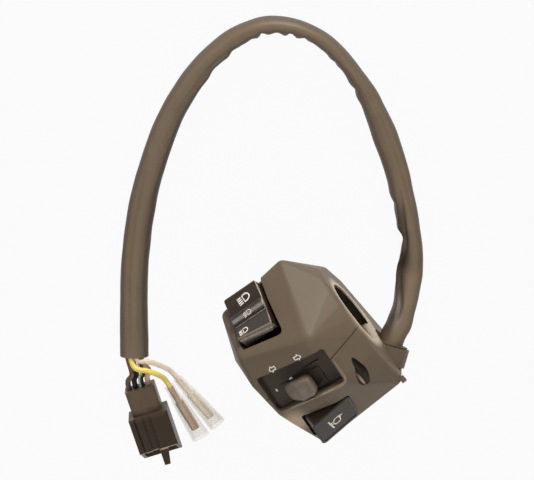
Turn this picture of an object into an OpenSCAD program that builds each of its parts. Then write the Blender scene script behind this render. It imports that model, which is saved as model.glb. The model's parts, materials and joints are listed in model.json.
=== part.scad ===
// Left-hand handlebar switch cluster with its harness.
// X runs along the handlebar, Y across the casing split, Z out of the switch face.

/* [Casing] */
// Handlebar diameter that the casing clamps
bar_d = 22.2; // [22:0.1:22.4]
// Wall thickness of the two casing halves
wall = 2; // [1.8:0.1:2.2]
// Rounding of the outer edges
edge_r = 2.5; // [2.3:0.1:2.7]
// Width of the clamp ring at each end
ring_w = 5.5; // [5:0.5:6]

/* [Headlamp rocker] */
// Length of the rocker cap
rocker_l = 17.6; // [17:0.2:18]
// Width of the rocker cap
rocker_w = 12.8; // [12:0.2:13]
// Height of the cap ends above the casing
rocker_h = 2.4; // [2:0.2:2.8]
// Pivot pin diameter
pin_d = 2; // [1.8:0.1:2.2]
// Swing to each side in degrees
rocker_swing = 8; // [6:1:8]

/* [Indicator] */
// Length of the recess
recess_l = 24.8; // [24.2:0.2:25]
// Width of the recess
recess_w = 13.4; // [13:0.2:13.6]
// Length of the knob along its travel
knob_l = 8.4; // [7.6:0.2:8.8]
// Width of the knob
knob_w = 6.8; // [6.2:0.2:7]
// Height of the knob
knob_h = 4; // [3.6:0.2:4.4]
// Travel of the knob to each side
knob_travel = 4.2; // [3.6:0.2:4.4]
// Push-to-cancel stroke
knob_push = 1.4; // [1:0.1:1.5]

/* [Horn] */
// Length of the horn button
horn_l = 14.2; // [13.4:0.2:14.6]
// Height of the horn button
horn_w = 11.6; // [11:0.2:12]
// How far the button stands out
horn_h = 2.7; // [2.3:0.1:3]
// Button stroke
horn_stroke = 1.6; // [1.3:0.1:1.7]

/* [Harness] */
// Sleeve diameter
sleeve_d = 8.2; // [7.8:0.1:8.4]
// Wall of the sleeve at its open end
sleeve_wall = 0.8; // [0.6:0.1:0.9]
// Wire diameter
wire_d = 1.8; // [1.6:0.1:1.9]
// Width of the connector housing
plug_w = 13.2; // [12.8:0.2:13.6]
// Height of the connector housing
plug_h = 9; // [8.6:0.2:9.4]

/* [Fits] */
// Gap round a moving cap
cap_gap = 0.4; // [0.35:0.05:0.45]
// Radial clearance of a running pin
run_gap = 0.05; // [0.03:0.01:0.08]
// Clearance of pieces that are clipped together
clip_gap = 0.1; // [0.05:0.05:0.15]

/* [Hidden] */
// Smoothness of round features and of the rounded casing edges
$fn = 44;
edge_fn = 20;
cavity_fn = 8;
// Surface that the cluster lies on
floor_z = -21.5;
// Cut overshoot and a length that passes through everything
eps = 0.1;
far = 60;
bar_r = bar_d / 2;
half_w = 20.5;

// Centres of the rounded corners of the casing, seen from the front
ridge_top = [6.9, 9.3, 21.4];
ridge_low = [5.5, -7.2, 20.6];
top_right = [11.8, 26.2, -0.8];
top_left = [-11.4, 24.5, -0.8];
left_a = [-13.6, 14.4, 12.6];
left_b = [-15.5, 6.2, 13.6];
left_c = [-15.2, -6.4, 13.2];
left_d = [-13.8, -11.6, 13];
low_left = [-12.4, -23.8, 5];
low_right = [16.2, -24.2, 3.4];
// Corners of the clamp ring at the right end
ring_x = half_w - edge_r;
ring_top = [ring_x, 18, 0];
ring_front = [
  [ring_x, 16.4, 4.6], [ring_x, 12.6, 8.4], [ring_x, 8.2, 10.8], [ring_x, 3.4, 12],
  [ring_x - 0.3, -3, 12.4], [ring_x - 1, -9, 12]
];
ring_top_back = [ring_x, 13, -13.5];
// Corners at the back, flat where the casing lies on its back
back_z = floor_z + edge_r;
back_top = 5.5;
back_low = -16.5;
low_back = [ring_x, -24, -9];
left_x = -ring_x;
left_up = [left_x + 1, 11.5, 0];
left_down = [left_x + 0.8, -12.2, 0];
left_back_up = [-15, 17, -10];
left_back_down = [-14, -23, -9];
corners = [
  top_right, top_left, left_a, left_b, left_c, left_d,
  low_left, low_right, ring_top, each ring_front, ring_top_back,
  [ring_x, back_top, back_z], [ring_x, back_low, back_z], low_back,
  left_up, left_down, left_back_up, left_back_down,
  [left_x, back_top, back_z], [left_x, back_low, back_z]
];
// The two ends of the crest are rounder than the other corners
crests = [[ridge_top, [0.23, 0.41, 1.1]], [ridge_low, [0.14, -0.29, 1.1]]];
crest_soft = 3;
// Cavity between the clamp rings and the cradle that backs the bar
cavity_x1 = half_w - ring_w;
cavity_x0 = -cavity_x1;
cradle_t = 2;
cradle_x1 = 10;
// Relief behind the thin lip of the right-hand ring, at the back of the bar
relief_t = 3;
relief_lip = 0.6;
relief_y0 = -8;
relief_z1 = 2;

// Casing screws run across the split
screw_front = [11.4, 16.8];
screw_back = [-3, -16.2];
screw_r = 1.3;
screw_head_r = 1.95;
screw_head_h = 1.8;
screw_pocket_r = 2.3;
screw_seat_y = -3;
screw_l = 10;
screw_boss_r = 3.2;
screw_boss_l = 9;
screw_slot_w = 0.6;
screw_slot_h = 0.7;

// Rocker frame on the upper facet
rocker_pos = [-4.3, 23.1, 6.2];
rocker_lean = 53;
rocker_tilt = 5;
rocker_turn = 9;
pin_z = -5;
rocker_end_play = 0.9;
rocker_end_gap = rocker_end_play - pin_z * sin(rocker_swing);
rocker_side_gap = 0.7;
rocker_open_r = 2.2;
rocker_skirt = 2;
collar_t = 1.5;
rocker_collar_z = -3.5;
rocker_floor_z = -8.5;
rocker_base_t = 1.1;
rocker_top_end = 7.2;
ear_x0 = 4.4;
ear_x1 = 6.1;
ear_r = 1.7;
lug_w = 4.6;
lug_z = -6.8;
plunger_r = 1.2;
plunger_nose_z = -8.1;
plunger_l = 3.4;
lug_bore_top = -1.2;
rib_w = 3;
rib_v = -0.6;
rib_h = 0.9;
rib_flank = 0.5;
rib_rise = 0.1;
cap_top_chamfer = 0.8;
cap_low_chamfer = 1.2;
head_contact_u = 3.4;
head_contact_v = 4.6;
head_contact_size = [1.8, 2.4, 0.3];
bridge_l = 8.8;
bridge_lip = 0.8;
bridge_t = 0.4;
rocker_out_v = rocker_l / 2 + rocker_end_gap + collar_t;

// Indicator frame on the recess floor
ind_pos = [-4.2, -1.1, 16.3];
ind_turn = 7.8;
ind_tilt = 12.4;
recess_r = 1.2;
recess_wall = 1.3;
recess_u = 0.6;
recess_v = 0.8;
guide_t = 1;
knob_v = -1.7;
knob_lift = 0.4;
knob_z = knob_lift + knob_push;
knob_bore_r = 1.9;
knob_roof = 0.9;
stem_r = 0.8;
stem_hole_r = stem_r + run_gap;
stem_end_z = -1.25;
carriage_t = 1.4;
carriage_z = -guide_t - clip_gap - carriage_t;
neck_l = 4.6;
neck_w = 4.2;
shutter_z = 0.08;
shutter_t = 0.25;
shutter_l = 14.6;
shutter_w = 6.2;
neck_top = shutter_z + shutter_t;
carriage_u0 = -2.6;
carriage_u1 = 5.4;
carriage_v = 5;
wiper_u = 4.4;
wiper_l = 1.6;
wiper_w = 4.4;
wiper_t = 0.4;
ind_contact_t = 0.25;
ind_base_t = 0.6;
ind_base_u0 = -2.4;
ind_base_u1 = carriage_u1 + knob_travel + cap_gap;
ind_base_v0 = -5.2;
ind_base_v1 = 3;
ind_gap = 0.1;
ind_wiper_z = carriage_z - wiper_t;
ind_contact_z = ind_wiper_z - ind_gap - ind_contact_t;
ind_base_z = ind_contact_z - ind_base_t;
ind_post_w = 1.2;

// Horn frame on the lower facet
horn_pos = [-5.3, -17.8, 13];
horn_lean = 39;
horn_tilt = 10.4;
horn_turn = -11.3;
horn_skirt = 3.2;
horn_wall = 1.3;
horn_roof = 1.4;
horn_under_gap = 0.3;
horn_gap = 0.7;
horn_collar_z = -horn_skirt - horn_stroke - horn_under_gap;
horn_base_h = 2.2;
horn_floor_z = horn_collar_z - horn_base_h;
horn_base_t = 1;
horn_base_v0 = -7.6;
horn_base_v1 = 4.4;
horn_base_u0 = -6.2;
horn_base_u1 = 8;
horn_base_wall = 1.1;
horn_stem_v = -1.6;
horn_stem_r = 1.6;
horn_disc_r = 1.6;
horn_disc_t = 0.4;
horn_contact_t = 0.3;
horn_contact_l = 2.4;
horn_contact_w = 0.8;
horn_contact_u = [-1, 0.2];
horn_touch_gap = 0.4;
horn_stem_end = horn_floor_z + horn_contact_t + horn_touch_gap + horn_disc_t + horn_stroke;

// Springs, mean radius and wire
spring_wire_r = 0.2;
knob_spring_r = 1.4;
knob_spring_turns = 4;
horn_spring_r = 2.5;
horn_spring_turns = 4;
rocker_spring_r = 0.85;
rocker_spring_turns = 4;
spring_seat = 0.02;
turn_rings = 8;
spring_sides = 6;

// Harness outlet at the lower right
outlet_pos = [19.4, -18.4, -4.5];
outlet_swing = 33;
outlet_drop = 13;
boss_r = 6.6;
boss_in = 4;
boss_out = 2;
grommet_t = 1.1;
grommet_lip_t = 0.6;
grommet_lip_r = 5.8;
sleeve_in = 4;
sleeve_straight = 0.8;
lead_way_r = 3;
lead_way_l = 4;
tab_pos = [18.4, -26, 4.6];
tab_size = [1.6, 1.8, 1.5];
sleeve_r = sleeve_d / 2;
grommet_r = sleeve_r + grommet_t;
outlet_dir = [
  sin(90 + outlet_drop) * cos(outlet_swing),
  sin(90 + outlet_drop) * sin(outlet_swing),
  cos(90 + outlet_drop)
];

// Route of the sleeve over the table, from the outlet to its open end
cord_lift = 0.1;
sleeve_z = floor_z + sleeve_r + cord_lift;
sleeve_end = [-47.2, 29.9, sleeve_z];
sleeve_end_turn = -130;
sleeve_end_l = 13;
sleeve_hole_l = 12;
sleeve_sides = 12;
sleeve_join = [
  sleeve_end[0] - sleeve_end_l * cos(sleeve_end_turn),
  sleeve_end[1] - sleeve_end_l * sin(sleeve_end_turn),
  sleeve_z
];
sleeve_route = [
  outlet_pos - sleeve_in * outlet_dir,
  outlet_pos + (boss_out + grommet_lip_t + sleeve_straight) * outlet_dir,
  [27.5, -14.2, -9],
  [32, -12, -12.5],
  [36.5, -8.8, -15.2],
  [41, -5, sleeve_z],
  [46, 0.5, sleeve_z],
  [50, 7.5, sleeve_z],
  [54, 15.5, sleeve_z],
  [58, 24, sleeve_z],
  [61.5, 33, sleeve_z],
  [64.5, 42, sleeve_z],
  [66.8, 51.5, sleeve_z],
  [67.6, 61, sleeve_z],
  [67, 70, sleeve_z],
  [63.5, 79, sleeve_z],
  [57, 86, sleeve_z],
  [49, 89.5, sleeve_z],
  [40, 90.4, sleeve_z],
  [30, 89.2, sleeve_z],
  [20, 86.3, sleeve_z],
  [11, 82.3, sleeve_z],
  [2, 77, sleeve_z],
  [-7, 71, sleeve_z],
  [-15, 64.6, sleeve_z],
  [-22.5, 57.7, sleeve_z],
  [-30, 50, sleeve_z],
  sleeve_join
];

// Connector on the table, mouth at the lower end
plug_pos = [-61.2, 0.8];
plug_turn = -112.5;
plug_l = 12.6;
plug_wall = 1.2;
plug_chin = 4.4;
plug_socket_l = 9.5;
plug_rear_l = 8.8;
plug_rear_w = 10;
plug_rear_h = 6.6;
plug_rear_lift = 0.8;
plug_rear_chamfer = 1.3;
plug_groove_d = 0.7;
plug_groove_y = [-5, -2.2];
plug_groove_w = [0.6, 2.9];
plug_floor_t = 1.4;
key_y = 0.2;
key_l = 5.8;
key_root_l = 1.5;
key_root_w = 3;
key_tip_w = 1.9;
pin_w = 1.6;
pin_t = 0.7;
pin_l = 4;
plug_pin_y = [-3.6, -1.2, 1.2, 3.6];
plug_pin_z = 4.4;
plug_wire_slots = [-1.5, -0.5, 0.5, 1.5];
plug_wire_pitch = 2.2;
plug_wire_z = 4.1;
plug_wire_in = 8.4;
wire_hole_r = wire_d / 2 + clip_gap;
wire_z = floor_z + plug_wire_z;

// Single terminals in clear sleeves
clip_a_pos = [-45.8, 14];
clip_a_turn = -100;
clip_b_pos = [-42, 14.2];
clip_b_turn = -91;
clear_l = 21;
clear_r = 2.2;
clear_wall = 0.5;
clear_neck_r = 1.5;
clear_neck_l = 6.5;
clear_cone_l = 2.2;
clear_z = floor_z + clear_r;
term_l = 11;
term_r = 1.5;
term_start = clear_neck_l;
term_bore_r = 1;
wire_in_term = 4;
term_web = 1;

// Wire routes, from inside the sleeve end to the connector or terminal
wire_ring_r = 2.1;
sleeve_dir = [cos(sleeve_end_turn), sin(sleeve_end_turn), 0];
sleeve_side = [-sin(sleeve_end_turn), cos(sleeve_end_turn), 0];
wire_sides = 8;
function in_sleeve(angle, depth) =
  sleeve_end - depth * sleeve_dir
  + wire_ring_r * (cos(angle) * sleeve_side + [0, 0, sin(angle)]);
function in_plug(slot, x) = [
  plug_pos[0] + x * cos(plug_turn) - slot * plug_wire_pitch * sin(plug_turn),
  plug_pos[1] + x * sin(plug_turn) + slot * plug_wire_pitch * cos(plug_turn),
  wire_z
];
function in_clear(pos, turn, x) = [
  pos[0] + x * cos(turn),
  pos[1] + x * sin(turn),
  clear_z
];
plug_rear_x = -plug_l - plug_rear_l;
wire_stop_x = plug_rear_x + plug_wire_in;
wire_start = sleeve_hole_l - 1;
lay_in = 2;
lay_out = -1;
wire_step = 60;
plug_entry_x = plug_rear_x - 2;
clear_entry_x = -1.5;
term_wire_x = term_start + wire_in_term;
brown_route = [
  in_sleeve(3 * wire_step, wire_start), in_sleeve(3 * wire_step, lay_in),
  in_sleeve(3 * wire_step, lay_out), [-52, 25.5, -17.2],
  in_plug(plug_wire_slots[0], plug_entry_x), in_plug(plug_wire_slots[0], wire_stop_x)
];
black_route = [
  in_sleeve(4 * wire_step, wire_start), in_sleeve(4 * wire_step, lay_in),
  in_sleeve(4 * wire_step, lay_out), [-51, 24.5, -18.2],
  in_plug(plug_wire_slots[1], plug_entry_x), in_plug(plug_wire_slots[1], wire_stop_x)
];
green_route = [
  in_sleeve(5 * wire_step, wire_start), in_sleeve(5 * wire_step, lay_in),
  in_sleeve(5 * wire_step, lay_out), [-49.3, 23.3, -18.2],
  in_plug(plug_wire_slots[2], plug_entry_x), in_plug(plug_wire_slots[2], wire_stop_x)
];
pink_route = [
  in_sleeve(0, wire_start), in_sleeve(0, lay_in),
  in_sleeve(0, lay_out), [-47, 22.5, -17.4],
  in_plug(plug_wire_slots[3], plug_entry_x), in_plug(plug_wire_slots[3], wire_stop_x)
];
yellow_route = [
  in_sleeve(2 * wire_step, wire_start), in_sleeve(2 * wire_step, lay_in),
  in_sleeve(2 * wire_step, lay_out), [-49, 27, -14.2], [-46.6, 24, -13.8],
  [-45.2, 20.6, -15.2],
  in_clear(clip_a_pos, clip_a_turn, clear_entry_x),
  in_clear(clip_a_pos, clip_a_turn, term_wire_x)
];
white_route = [
  in_sleeve(wire_step, wire_start), in_sleeve(wire_step, lay_in),
  in_sleeve(wire_step, lay_out), [-44.4, 25.6, -15.4], [-42.4, 20.4, -17.6],
  in_clear(clip_b_pos, clip_b_turn, clear_entry_x),
  in_clear(clip_b_pos, clip_b_turn, term_wire_x)
];

// Leads from the three switch bases into the inner end of the sleeve
lead_d = 1.6;
headlamp_lead_route = [
  [1, 17.1, -1.3], [1.2, 15, -2.9], [3, 14.2, -8.5], [4, 10.5, -13], [4, 3, -16.3],
  [4, -7, -15.5], [7, -14, -10.5], [13.6, -22, -4.6], [15.7, -20.7, -5.1]
];
indicator_lead_route = [
  [4.5, -5.9, 14.3], [4.8, -6, 12.6], [6, -9.5, 9.8], [8, -13, 4.5],
  [10.5, -16.5, 0], [13.2, -20.4, -2.1], [15.3, -19.1, -2.6]
];
horn_lead_route = [
  [-5.3, -13.5, 4.7], [-5.6, -12.5, 3.4], [-3, -14.6, 0.6], [3, -17.5, -1.5],
  [7.5, -20, -2.4], [11.2, -21.8, -2.6], [14.9, -23, -2.4], [16.9, -21.7, -2.8]
];

// Frames of the three switches, the outlet and the pieces on the table
module at_rocker() {
  translate(rocker_pos)
    rotate([-rocker_lean, 0, 0])
      rotate([0, -rocker_tilt, 0])
        rotate([0, 0, -rocker_turn])
          children();
}

module at_indicator() {
  translate(ind_pos)
    rotate([0, 0, -ind_turn])
      rotate([0, -ind_tilt, 0])
        children();
}

module at_recess() {
  at_indicator()
    translate([recess_u, recess_v, 0])
      children();
}

module at_horn() {
  translate(horn_pos)
    rotate([horn_lean, 0, 0])
      rotate([0, horn_tilt, 0])
        rotate([0, 0, horn_turn])
          children();
}

module at_outlet() {
  translate(outlet_pos)
    rotate([0, 90 + outlet_drop, outlet_swing])
      children();
}

module at_plug() {
  translate([plug_pos[0], plug_pos[1], floor_z])
    rotate([0, 0, plug_turn])
      children();
}

module at_clear(pos, turn) {
  translate([pos[0], pos[1], clear_z])
    rotate([0, 90, turn])
      children();
}

// A box by its two corners, and a block with rounded corners in plan
module box(a, b) {
  translate(a)
    cube(b - a);
}

module slab(l, w, r, z0, z1) {
  translate([0, 0, z0])
    linear_extrude(z1 - z0)
      union() {
        square([l - 2 * r, w], center = true);
        square([l, w - 2 * r], center = true);
        for (x = [-1, 1])
          for (y = [-1, 1])
            translate([x * (l / 2 - r), y * (w / 2 - r)])
              circle(r);
      }
}

// A tube swept along a list of points, with its rings turned as little as possible
function unit(v) = v / norm(v);
function tangent(p, i) =
  unit(p[min(i + 1, len(p) - 1)] - p[max(i - 1, 0)]);
function side_of(t, s) = unit(s - (s * t) * t);
function sides(p, i = 0, s = [0.3, 0.2, 1]) =
  i >= len(p) ? [] :
  let (n = side_of(tangent(p, i), s))
  concat([n], sides(p, i + 1, n));
function ring(c, t, s, r, n) = [
  for (k = [0:n - 1])
    c + r * (cos(360 * k / n) * s + sin(360 * k / n) * cross(t, s))
];

module tube(p, r, n) {
  s = sides(p);
  last = len(p) - 1;
  points = [
    for (i = [0:last])
      each ring(p[i], tangent(p, i), s[i], r, n)
  ];
  walls = [
    for (i = [0:last - 1])
      for (k = [0:n - 1])
        let (a = i * n + k, b = i * n + (k + 1) % n)
        each [[a, b + n, b], [a, a + n, b + n]]
  ];
  start = [for (k = [1:n - 2]) [0, k, k + 1]];
  finish = [for (k = [1:n - 2]) [last * n, last * n + k + 1, last * n + k]];
  polyhedron(points, concat(walls, start, finish));
}

function helix(r, h, turns) = [
  for (i = [0:turns * turn_rings])
    [
      r * cos(360 * i / turn_rings),
      r * sin(360 * i / turn_rings),
      spring_wire_r + (h - 2 * spring_wire_r) * i / (turns * turn_rings)
    ]
];

module spring(r, h, turns) {
  tube(helix(r, h, turns), spring_wire_r, spring_sides);
}

// Outer body and cavity of the casing
module body(r, fn) {
  hull() {
    for (c = corners)
      translate(c)
        sphere(r, $fn = fn);
    for (c = crests)
      translate(c[0] - crest_soft * c[1])
        sphere(r + crest_soft, $fn = fn);
  }
}

module cavity() {
  intersection() {
    body(edge_r - wall, cavity_fn);
    box([cavity_x0, -far, -far], [cavity_x1, far, far]);
  }
}

module along_x(r, x0, x1) {
  translate([x0, 0, 0])
    rotate([0, 90, 0])
      cylinder(r = r, h = x1 - x0);
}

module bore_relief() {
  intersection() {
    along_x(bar_r + relief_t, cradle_x1, half_w - relief_lip);
    box([-far, relief_y0, -far], [far, far, relief_z1]);
  }
}

module along_y(p, r, y0, y1) {
  translate([p[0], y0, p[1]])
    rotate([-90, 0, 0])
      cylinder(r = r, h = y1 - y0);
}

// Frames that stand round the openings, under the skin
module rocker_collar() {
  at_rocker()
    box(
      [-rocker_w / 2 - rocker_side_gap - collar_t, -rocker_out_v, rocker_collar_z],
      [rocker_w / 2 + rocker_side_gap + collar_t, rocker_top_end + collar_t, rocker_h]
    );
}

module rocker_opening() {
  at_rocker()
    translate([0, rocker_l / 2 - rocker_end_gap, 0])
      slab(
        rocker_w + 2 * rocker_side_gap, 2 * rocker_l, rocker_open_r, rocker_collar_z - eps, far
      );
}

module rocker_clearance() {
  at_rocker()
    box(
      [-rocker_w / 2 - rocker_side_gap - collar_t, -rocker_out_v, rocker_floor_z - rocker_base_t],
      [rocker_w / 2 + rocker_side_gap + collar_t, rocker_top_end + collar_t, rocker_collar_z]
    );
}

module recess_collar() {
  at_recess()
    slab(recess_l + 2 * recess_wall, recess_w + 2 * recess_wall, recess_r, 0, far);
}

module recess_opening() {
  at_recess()
    slab(recess_l, recess_w, recess_r, -guide_t, far);
}

module guide_seat() {
  at_recess()
    slab(
      recess_l + 2 * recess_wall + 2 * clip_gap,
      recess_w + 2 * recess_wall + 2 * clip_gap,
      recess_r, -guide_t - eps, 0
    );
}

module horn_collar() {
  at_horn()
    slab(
      horn_l + 2 * horn_gap + 2 * collar_t,
      horn_w + 2 * horn_gap + 2 * collar_t,
      recess_r, horn_collar_z, horn_h
    );
}

module horn_opening() {
  at_horn()
    slab(horn_l + 2 * horn_gap, horn_w + 2 * horn_gap, recess_r, horn_collar_z - eps, far);
}

module horn_clearance() {
  at_horn()
    box(
      [horn_base_u0, horn_base_v0, horn_floor_z - horn_base_t],
      [horn_base_u1, horn_base_v1, horn_collar_z]
    );
}

module outlet_bore() {
  at_outlet()
    union() {
      translate([0, 0, -boss_in])
        cylinder(r = grommet_r + clip_gap, h = boss_in + boss_out + eps);
      translate([0, 0, -boss_in - lead_way_l])
        cylinder(r = lead_way_r, h = lead_way_l + eps);
    }
  at_outlet()
    translate([0, 0, boss_out])
      cylinder(r = grommet_lip_r + clip_gap, h = far);
}

module screw_holes() {
  for (p = [screw_front, screw_back]) {
    along_y(p, screw_r + clip_gap, screw_seat_y - eps, eps);
    along_y(p, screw_pocket_r, -far, screw_seat_y);
    along_y(p, screw_r, -eps, screw_l + screw_seat_y + eps);
  }
}

module casing() {
  difference() {
    union() {
      difference() {
        body(edge_r, edge_fn);
        cavity();
      }
      intersection() {
        body(edge_r - wall / 2, cavity_fn);
        union() {
          rocker_collar();
          recess_collar();
          horn_collar();
          for (p = [screw_front, screw_back])
            along_y(p, screw_boss_r, -far, screw_boss_l);
          difference() {
            along_x(bar_r + cradle_t, -half_w, cradle_x1);
            box([-far, -far, 0], [far, far, far]);
          }
        }
      }
      at_outlet()
        translate([0, 0, -boss_in])
          cylinder(r = boss_r, h = boss_in + boss_out);
    }
    along_x(bar_r, -far, far);
    bore_relief();
    rocker_opening();
    rocker_clearance();
    recess_opening();
    guide_seat();
    horn_opening();
    horn_clearance();
    outlet_bore();
    screw_holes();
  }
}

module upper_casing() {
  color([0.42, 0.36, 0.31])
    intersection() {
      casing();
      box([-far, 0, -far], [far, far, far]);
    }
}

module lower_casing() {
  color([0.42, 0.36, 0.31])
    union() {
      intersection() {
        casing();
        box([-far, -far, -far], [far, 0, far]);
      }
      translate(tab_pos)
        cube(tab_size, center = true);
    }
}

module casing_screws() {
  color([0.75, 0.75, 0.72])
    for (p = [screw_front, screw_back])
      difference() {
        union() {
          along_y(p, screw_r, screw_seat_y, screw_seat_y + screw_l);
          along_y(p, screw_head_r, screw_seat_y - screw_head_h, screw_seat_y);
        }
        translate([p[0], screw_seat_y - screw_head_h, p[1]])
          for (a = [0, 90])
            rotate([0, a, 0])
              cube([2 * screw_r, 2 * screw_slot_h, screw_slot_w], center = true);
      }
}

// Headlamp rocker and its switch
module headlamp_base() {
  out_u = rocker_w / 2 + rocker_side_gap + collar_t;
  in_u = rocker_w / 2 + rocker_side_gap;
  in_v = rocker_l / 2 + rocker_end_gap;
  color([0.12, 0.12, 0.12])
    at_rocker()
      difference() {
        box(
          [-out_u, -rocker_out_v, rocker_floor_z - rocker_base_t],
          [out_u, rocker_top_end + collar_t, rocker_collar_z]
        );
        box([-in_u, -in_v, rocker_floor_z], [in_u, rocker_top_end, rocker_collar_z + eps]);
        translate([-far, 0, pin_z])
          rotate([0, 90, 0])
            cylinder(d = pin_d, h = 2 * far);
      }
}

module headlamp_contacts() {
  color([0.8, 0.62, 0.3])
    at_rocker()
      for (u = [-head_contact_u, head_contact_u])
        for (v = [-head_contact_v, head_contact_v])
          translate([u, v, rocker_floor_z + head_contact_size[2] / 2])
            cube(head_contact_size, center = true);
}

module rocker_pins() {
  out_u = rocker_w / 2 + rocker_side_gap + collar_t;
  color([0.75, 0.75, 0.72])
    at_rocker()
      for (s = [-1, 1])
        translate([s * (ear_x0 + out_u) / 2, 0, pin_z])
          rotate([0, 90, 0])
            cylinder(d = pin_d, h = out_u - ear_x0, center = true);
}

module rocker_cap() {
  half_l = rocker_l / 2;
  color([0.08, 0.08, 0.08])
    at_rocker()
      difference() {
        union() {
          rotate([90, 0, 90])
            translate([0, 0, -rocker_w / 2])
              linear_extrude(rocker_w)
                polygon([
                  [-half_l, -rocker_skirt], [half_l, -rocker_skirt],
                  [half_l, rocker_h - cap_top_chamfer], [half_l - cap_top_chamfer, rocker_h],
                  [rib_v + rib_w / 2 + rib_flank, rocker_h - rib_h],
                  [rib_v + rib_w / 2, rocker_h + rib_rise],
                  [rib_v - rib_w / 2, rocker_h + rib_rise],
                  [rib_v - rib_w / 2 - rib_flank, rocker_h - rib_h],
                  [cap_low_chamfer - half_l, rocker_h], [-half_l, rocker_h - cap_low_chamfer]
                ]);
          box([-lug_w / 2, -lug_w / 2, lug_z], [lug_w / 2, lug_w / 2, -rocker_skirt + eps]);
          for (s = [-1, 1])
            translate([s * (ear_x0 + ear_x1) / 2, 0, 0]) {
              translate([0, 0, pin_z])
                rotate([0, 90, 0])
                  cylinder(r = ear_r, h = ear_x1 - ear_x0, center = true);
              translate([0, 0, (pin_z - rocker_skirt + eps) / 2])
                cube([ear_x1 - ear_x0, 2 * ear_r, -rocker_skirt + eps - pin_z], center = true);
            }
        }
        for (s = [-1, 1])
          translate([s * (ear_x0 + ear_x1) / 2, 0, pin_z])
            rotate([0, 90, 0])
              cylinder(r = pin_d / 2 + run_gap, h = ear_x1 - ear_x0 + 2 * eps, center = true);
        translate([0, 0, lug_z - eps])
          cylinder(r = plunger_r + run_gap, h = lug_bore_top - lug_z + eps);
      }
}

module rocker_contact() {
  color([0.8, 0.62, 0.3])
    at_rocker()
      difference() {
        box(
          [-bridge_l / 2, -lug_w / 2 - bridge_lip, lug_z],
          [bridge_l / 2, lug_w / 2 + bridge_lip, lug_z + bridge_t]
        );
        box(
          [-lug_w / 2, -lug_w / 2, lug_z - eps],
          [lug_w / 2, lug_w / 2, lug_z + bridge_t + eps]
        );
      }
}

module rocker_plunger() {
  color([0.85, 0.83, 0.78])
    at_rocker() {
      translate([0, 0, plunger_nose_z + plunger_r])
        cylinder(r = plunger_r, h = plunger_l - plunger_r);
      translate([0, 0, plunger_nose_z + plunger_r])
        sphere(plunger_r);
    }
}

module rocker_spring() {
  z0 = plunger_nose_z + plunger_l + spring_seat;
  color([0.7, 0.7, 0.7])
    at_rocker()
      translate([0, 0, z0])
        spring(rocker_spring_r, lug_bore_top - spring_seat - z0, rocker_spring_turns);
}

// Indicator switch
module indicator_guide() {
  color([0.07, 0.07, 0.07])
    difference() {
      at_recess()
        slab(recess_l + 2 * recess_wall, recess_w + 2 * recess_wall, recess_r, -guide_t, 0);
      at_indicator()
        translate([0, knob_v, 0])
          slab(
            neck_l + 2 * knob_travel + 2 * cap_gap, neck_w + 2 * cap_gap,
            recess_r, -guide_t - eps, eps
          );
    }
}

module indicator_base() {
  color([0.45, 0.3, 0.18])
    at_indicator() {
      box(
        [ind_base_u0, ind_base_v0, ind_base_z],
        [ind_base_u1, ind_base_v1, ind_contact_z]
      );
      for (v = [ind_base_v0, ind_base_v1 - ind_post_w])
        box(
          [ind_base_u1, v, ind_base_z],
          [ind_base_u1 + ind_post_w, v + ind_post_w, -guide_t]
        );
      box(
        [ind_base_u1, ind_base_v0, ind_base_z],
        [ind_base_u1 + ind_post_w, ind_base_v1, ind_contact_z]
      );
    }
}

module indicator_contacts() {
  color([0.8, 0.62, 0.3])
    at_indicator()
      for (u = [-knob_travel, 0, knob_travel])
        box(
          [wiper_u + u - wiper_l / 2, knob_v - wiper_w / 2, ind_contact_z],
          [wiper_u + u + wiper_l / 2, knob_v + wiper_w / 2, ind_contact_z + ind_contact_t]
        );
}

module indicator_carriage() {
  color([0.85, 0.83, 0.78])
    at_indicator()
      difference() {
        union() {
          box(
            [carriage_u0, knob_v - carriage_v / 2, carriage_z],
            [carriage_u1, knob_v + carriage_v / 2, carriage_z + carriage_t]
          );
          box(
            [-neck_l / 2, knob_v - neck_w / 2, carriage_z],
            [neck_l / 2, knob_v + neck_w / 2, neck_top]
          );
        }
        translate([0, knob_v, carriage_z - eps])
          cylinder(r = stem_hole_r, h = far);
      }
}

module indicator_wiper() {
  color([0.8, 0.62, 0.3])
    at_indicator()
      box(
        [wiper_u - wiper_l / 2, knob_v - wiper_w / 2, ind_wiper_z],
        [wiper_u + wiper_l / 2, knob_v + wiper_w / 2, carriage_z]
      );
}

module indicator_shutter() {
  color([0.07, 0.07, 0.07])
    at_indicator()
      difference() {
        box(
          [-shutter_l / 2, knob_v - shutter_w / 2, shutter_z],
          [shutter_l / 2, knob_v + shutter_w / 2, shutter_z + shutter_t]
        );
        box(
          [-neck_l / 2, knob_v - neck_w / 2, shutter_z - eps],
          [neck_l / 2, knob_v + neck_w / 2, neck_top + eps]
        );
      }
}

module indicator_knob() {
  color([0.3, 0.28, 0.26])
    at_indicator()
      translate([0, knob_v, 0])
        union() {
          difference() {
            slab(knob_l, knob_w, recess_r, knob_z, knob_z + knob_h);
            translate([0, 0, knob_z - eps])
              cylinder(r = knob_bore_r, h = knob_h - knob_roof + eps);
          }
          translate([0, 0, stem_end_z])
            cylinder(r = stem_r, h = knob_z + knob_h - knob_roof / 2 - stem_end_z);
        }
}

module knob_spring() {
  color([0.7, 0.7, 0.7])
    at_indicator()
      translate([0, knob_v, neck_top + spring_seat])
        spring(
          knob_spring_r,
          knob_z + knob_h - knob_roof - neck_top - 2 * spring_seat,
          knob_spring_turns
        );
}

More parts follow.
